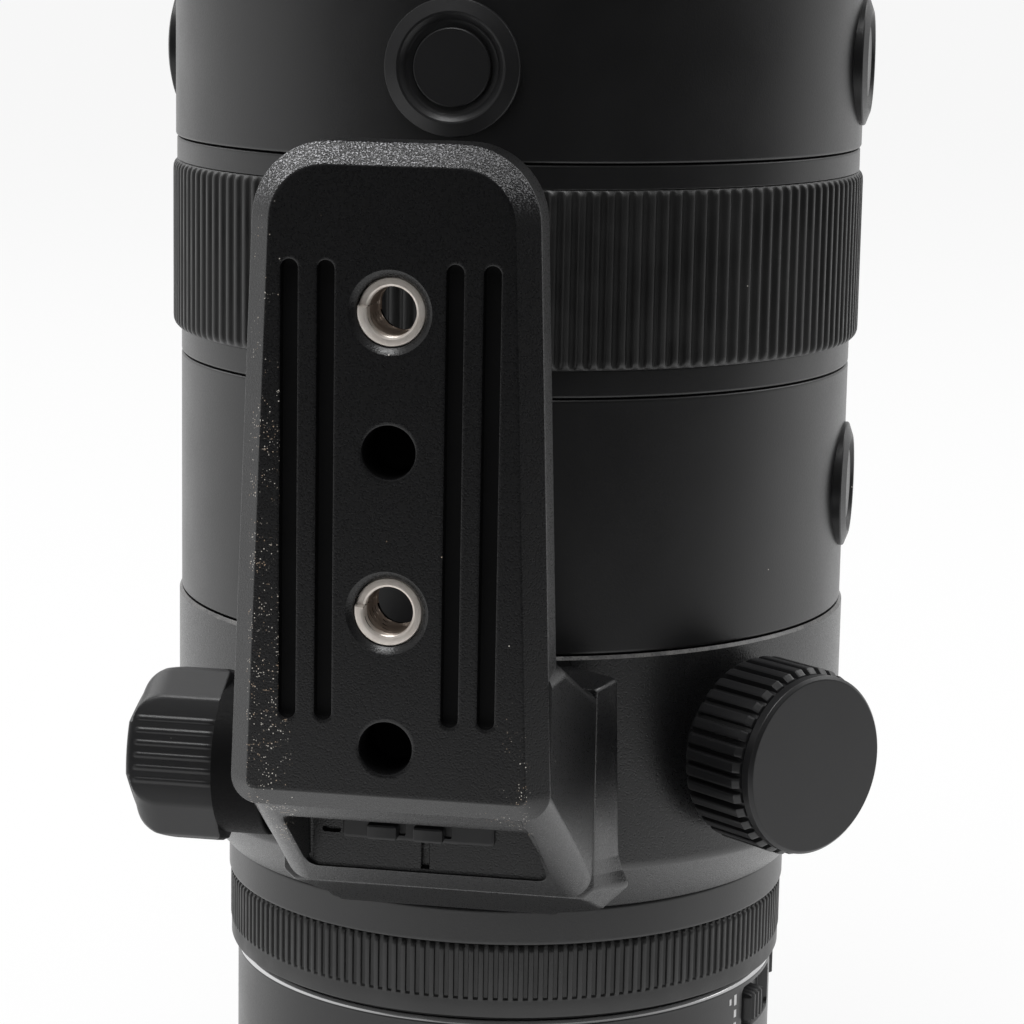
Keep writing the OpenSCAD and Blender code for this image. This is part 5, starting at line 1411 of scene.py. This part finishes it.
class LENS_OT_front(Piece):
    """Front barrel with the hood's bayonet tracks, and the filter ring with its thread"""

    bl_idname = "lens.front"
    bl_label = "Front barrel and filter ring"

    def execute(self, context):
        """The barrel is a turned wall, sunk where a track's entry or run is deep enough inside its edges."""
        sizes = context.scene.lens_sizes
        low, high = heights("front_barrel")
        r, track, height, depth = reach("front_barrel"), high - 5.6, 2.6, 0.9
        half_entry, run_to, margin, fine = radians(9), radians(38), radians(0.7), radians(0.12)
        top = track + height
        z = lined(low + 0.9, high, [(track - 0.4, track + 0.4), (top - 0.4, top + 0.4)], 0.1, 18)
        starts = [radians(i * 90 - 45) for i in range(4)]
        cuts = [around_zero(s + d) for s in starts for d in (-half_entry, half_entry, run_to)]
        angle = lined(-pi, pi, [(c - margin, c + margin) for c in cuts], fine, 193)[:-1]
        foot = rounded([(FRONT_BORE, low), (r, low), (r, low + 0.8)], [0, sizes.edge / MM, 0], closed=False)
        head = np.array([(r - 0.12, high), (r - 1.3, high), (FRONT_BORE, high)])
        rows = np.concatenate([foot, np.column_stack([np.full(len(z), r), z]), head])
        turn, h = angle[:, None], rows[None, :, 1]
        sunk = np.zeros((len(angle), len(rows)))
        for s in starts:
            off = around_zero(turn - s) * r
            entry = np.minimum(half_entry * r - np.abs(off), h - track)
            run = np.minimum(np.minimum(off, run_to * r - off), np.minimum(h - track, top - h))
            sunk = np.maximum(sunk, depth * ease(np.maximum(entry, run), 0, 0.2))
        wall = rows[None, :, 0] > r - 0.2
        skin = Skin()
        skin.grid(wrapped(turn, rows[None, :, 0] - sunk * wall, h), True, True)
        piece = skin.object("front_barrel_shell", "barrel_paint")
        dress(piece, "barrel", "barrel_paint", "front_barrel")
        self.filter_ring(sizes.filter_pitch / MM)
        return {"FINISHED"}

    @staticmethod
    def filter_ring(pitch):
        """Filter ring: a helical thread inside, with its radius the crest plus the depth times a triangle
        wave of height over pitch less the turn, between a rounded rim and a plain bore."""
        low, high = heights("filter_ring")
        outer, neck, bore, crest, depth, count = reach("filter_ring"), 40.9, 36.6, 38.1, 0.42, 240
        turn = (np.arange(count) / count)[:, None]
        z = np.linspace(high - 0.7, high - 6.0, 72)
        thread = crest + depth * triangle(z[None, :] / pitch - turn)
        lead = np.array([
            (bore, low), (neck, low), (neck, high - 0.75), (outer - 0.25, high - 0.7), (outer, high - 0.45),
            (outer - 0.2, high), (crest + 0.7, high), (crest + 0.5, high - 0.15)])
        tail = np.array([(crest, high - 6.3), (bore, high - 6.5)])
        lead_r, tail_r = (np.broadcast_to(end[:, 0], (count, len(end))) for end in (lead, tail))
        r = np.concatenate([lead_r, thread, tail_r], 1)
        h = np.concatenate([lead[:, 1], z, tail[:, 1]])
        skin = Skin()
        skin.grid(wrapped(turn * 2 * pi, r, h), True, True)
        piece = skin.object("filter_ring_thread", "inner_black", sharp=40)
        dress(piece, "barrel", "inner_metal", "filter_ring")


CARRIED = {
    "mount_chrome": ("mount_ring",),
    "stainless": ("mount_screws", "collar_lock_screw", "foot_clamp_screw", "zoom_key", "guide_bars"),
    "magnet": ("focus_magnets",),
    "seal_rubber": ("mount_gasket",),
    "contact_gold": ("contact_pins",),
    "inner_black": (
        "rear_baffle", "contact_block", "main_tube", "front_cell", "iris_housing", "rear_cell", "cam_tube",
        "variator_cell", "compensator_cell", "focus_cell", "iris_ring",
        *("iris_blade_%d" % (i + 1) for i in range(7))),
    "lens_glass": ("front_glass", "variator_glass", "compensator_glass", "focus_glass", "rear_glass"),
    "coil_copper": ("focus_coils",),
}


class LENS_OT_solids(Piece):
    """Finishes of the solids whose shape is right as it is: the mount, the glass and the inner pieces"""

    bl_idname = "lens.solids"
    bl_label = "Mount, glass and inner pieces"

    def execute(self, context):
        for name, nodes in CARRIED.items():
            for node in nodes:
                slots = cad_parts[node].data.materials
                slots.clear()
                slots.append(finish(name))
        return {"FINISHED"}


class LENS_OT_stage(Piece):
    """White floor, soft light and the camera"""

    bl_idname = "lens.stage"
    bl_label = "Stage, light and camera"

    def execute(self, context):
        scene, stage = context.scene, context.scene.lens_stage
        self.floor()
        self.world(scene)
        for name, place, size, share in (
                ("softbox_left", (-0.70, 0.40, 0.85), 0.8, 0.7),
                ("softbox_right", (0.66, 0.50, 0.85), 0.8, 0.7),
                ("softbox_top", (-0.12, -0.26, 1.0), 0.5, 1.1)):
            lamp = bpy.data.lights.new(name, "AREA")
            lamp.shape, lamp.size, lamp.energy = "DISK", size, stage.lamp * share
            holder = bpy.data.objects.new(name, lamp)
            holder.location = place
            aim = Vector((0, 0, 0.1)) - Vector(place)
            holder.rotation_euler = aim.to_track_quat("-Z", "Y").to_euler()
            scene.collection.objects.link(holder)
        self.camera(scene, stage)
        scene.view_settings.view_transform = "Standard"
        return {"FINISHED"}

    @staticmethod
    def floor():
        """A wide floor under the mount, flat, with its far edge out of the camera's sight."""
        half, z = 16000, CAD_BOX[0].z / MM
        line = np.linspace(-half, half, 9)
        skin = Skin()
        skin.grid(np.stack(np.broadcast_arrays(line[:, None], line[None, :], z), -1), False, False)
        floor = skin.object("floor", "floor_white")
        if floor.data.polygons[0].normal.z < 0:
            floor.data.flip_normals()

    @staticmethod
    def world(scene):
        """White for the camera and through glass, and plain for the light on the lens. Reflections see it
        fade to black towards the viewer."""
        scene.world = bpy.data.worlds.new("studio")
        scene.world.use_nodes = True
        made = Nodes(scene.world.node_tree)
        viewer, plain, brightest = (0.40, -0.85, -0.30), 0.6, 0.8
        place = made.node("ShaderNodeTexCoord", output="Generated")
        toward = made.node(
            "ShaderNodeVectorMath", {"operation": "DOT_PRODUCT"}, {0: place, 1: viewer}, "Value")
        mirrored = made.node("ShaderNodeMapRange", None, {
            "Value": toward, "From Min": 0.8, "From Max": -0.8, "To Min": 0.0, "To Max": brightest})
        seen = made.maths("MAXIMUM", made.ray("Camera"), made.ray("Transmission"))
        lighting = made.node("ShaderNodeMapRange", None, {"Value": seen, "To Min": plain})
        strength = made.node(
            "ShaderNodeMix", {"data_type": "FLOAT"},
            {"Factor": made.ray("Glossy"), "A": lighting, "B": mirrored}, "Result")
        glow = made.node("ShaderNodeBackground", None, {"Color": (1, 1, 1), "Strength": strength})
        output = made.tree.nodes.new("ShaderNodeOutputWorld")
        made.feed(output.inputs["Surface"], glow)

    @staticmethod
    def camera(scene, stage):
        """The photograph's view: a heading round the axis, a height, a pitch and a roll."""
        data = bpy.data.cameras.new("view")
        data.sensor_fit, data.sensor_width, data.lens = "HORIZONTAL", 36.0, stage.focal
        data.clip_start, data.clip_end = 0.01, 50.0
        data.dof.use_dof = False
        level = Vector((-sin(stage.heading), cos(stage.heading), 0))
        ahead = level * cos(stage.pitch) - Vector((0, 0, sin(stage.pitch)))
        right = ahead.cross(Vector((0, 0, 1))).normalized()
        up = right.cross(ahead)
        across = right * cos(stage.roll) + up * sin(stage.roll)
        upright = up * cos(stage.roll) - right * sin(stage.roll)
        turn = Matrix((across, upright, -ahead)).transposed()
        place = Vector((0, 0, stage.height)) - level * stage.distance
        camera = bpy.data.objects.new("view", data)
        camera.matrix_world = Matrix.Translation(place) @ turn.to_4x4()
        scene.collection.objects.link(camera)
        scene.camera = camera


PIECES = (
    LENS_OT_rear_barrel, LENS_OT_switches, LENS_OT_control_ring, LENS_OT_collar, LENS_OT_collar_lock,
    LENS_OT_foot, LENS_OT_inserts, LENS_OT_clamp, LENS_OT_latch, LENS_OT_barrels, LENS_OT_buttons,
    LENS_OT_grip_rings, LENS_OT_front, LENS_OT_solids, LENS_OT_stage)


class LENS_PT_panel(bpy.types.Panel):
    """Lists the pieces of the lens and their settings."""

    bl_idname = "LENS_PT_panel"
    bl_label = "Zoom lens"
    bl_space_type = "VIEW_3D"
    bl_region_type = "UI"
    bl_category = "Lens"

    def draw(self, context):
        """One box for each group of settings, then a button for each piece."""
        for group in GROUPS:
            box = self.layout.box()
            for key in GROUPS[group].__annotations__:
                box.prop(getattr(context.scene, group), key)
        for piece in PIECES:
            self.layout.operator(piece.bl_idname)


GROUPS = {
    "lens_ribs": LensRibs, "lens_sizes": LensSizes, "lens_colours": LensColours, "lens_stage": LensStage}
CLASSES = (*GROUPS.values(), *PIECES, LENS_PT_panel)


def register():
    """Makes the classes known, and gives the scene its groups of settings."""
    for kind in CLASSES:
        bpy.utils.register_class(kind)
    for name, kind in GROUPS.items():
        setattr(bpy.types.Scene, name, PointerProperty(type=kind))


def unregister():
    """Takes the settings and the classes away again."""
    for name in GROUPS:
        delattr(bpy.types.Scene, name)
    for kind in reversed(CLASSES):
        bpy.utils.unregister_class(kind)


def main():
    """Builds every piece in order."""
    register()
    for piece in PIECES:
        group, name = piece.bl_idname.split(".")
        getattr(getattr(bpy.ops, group), name)()


if __name__ == "__main__":
    main()
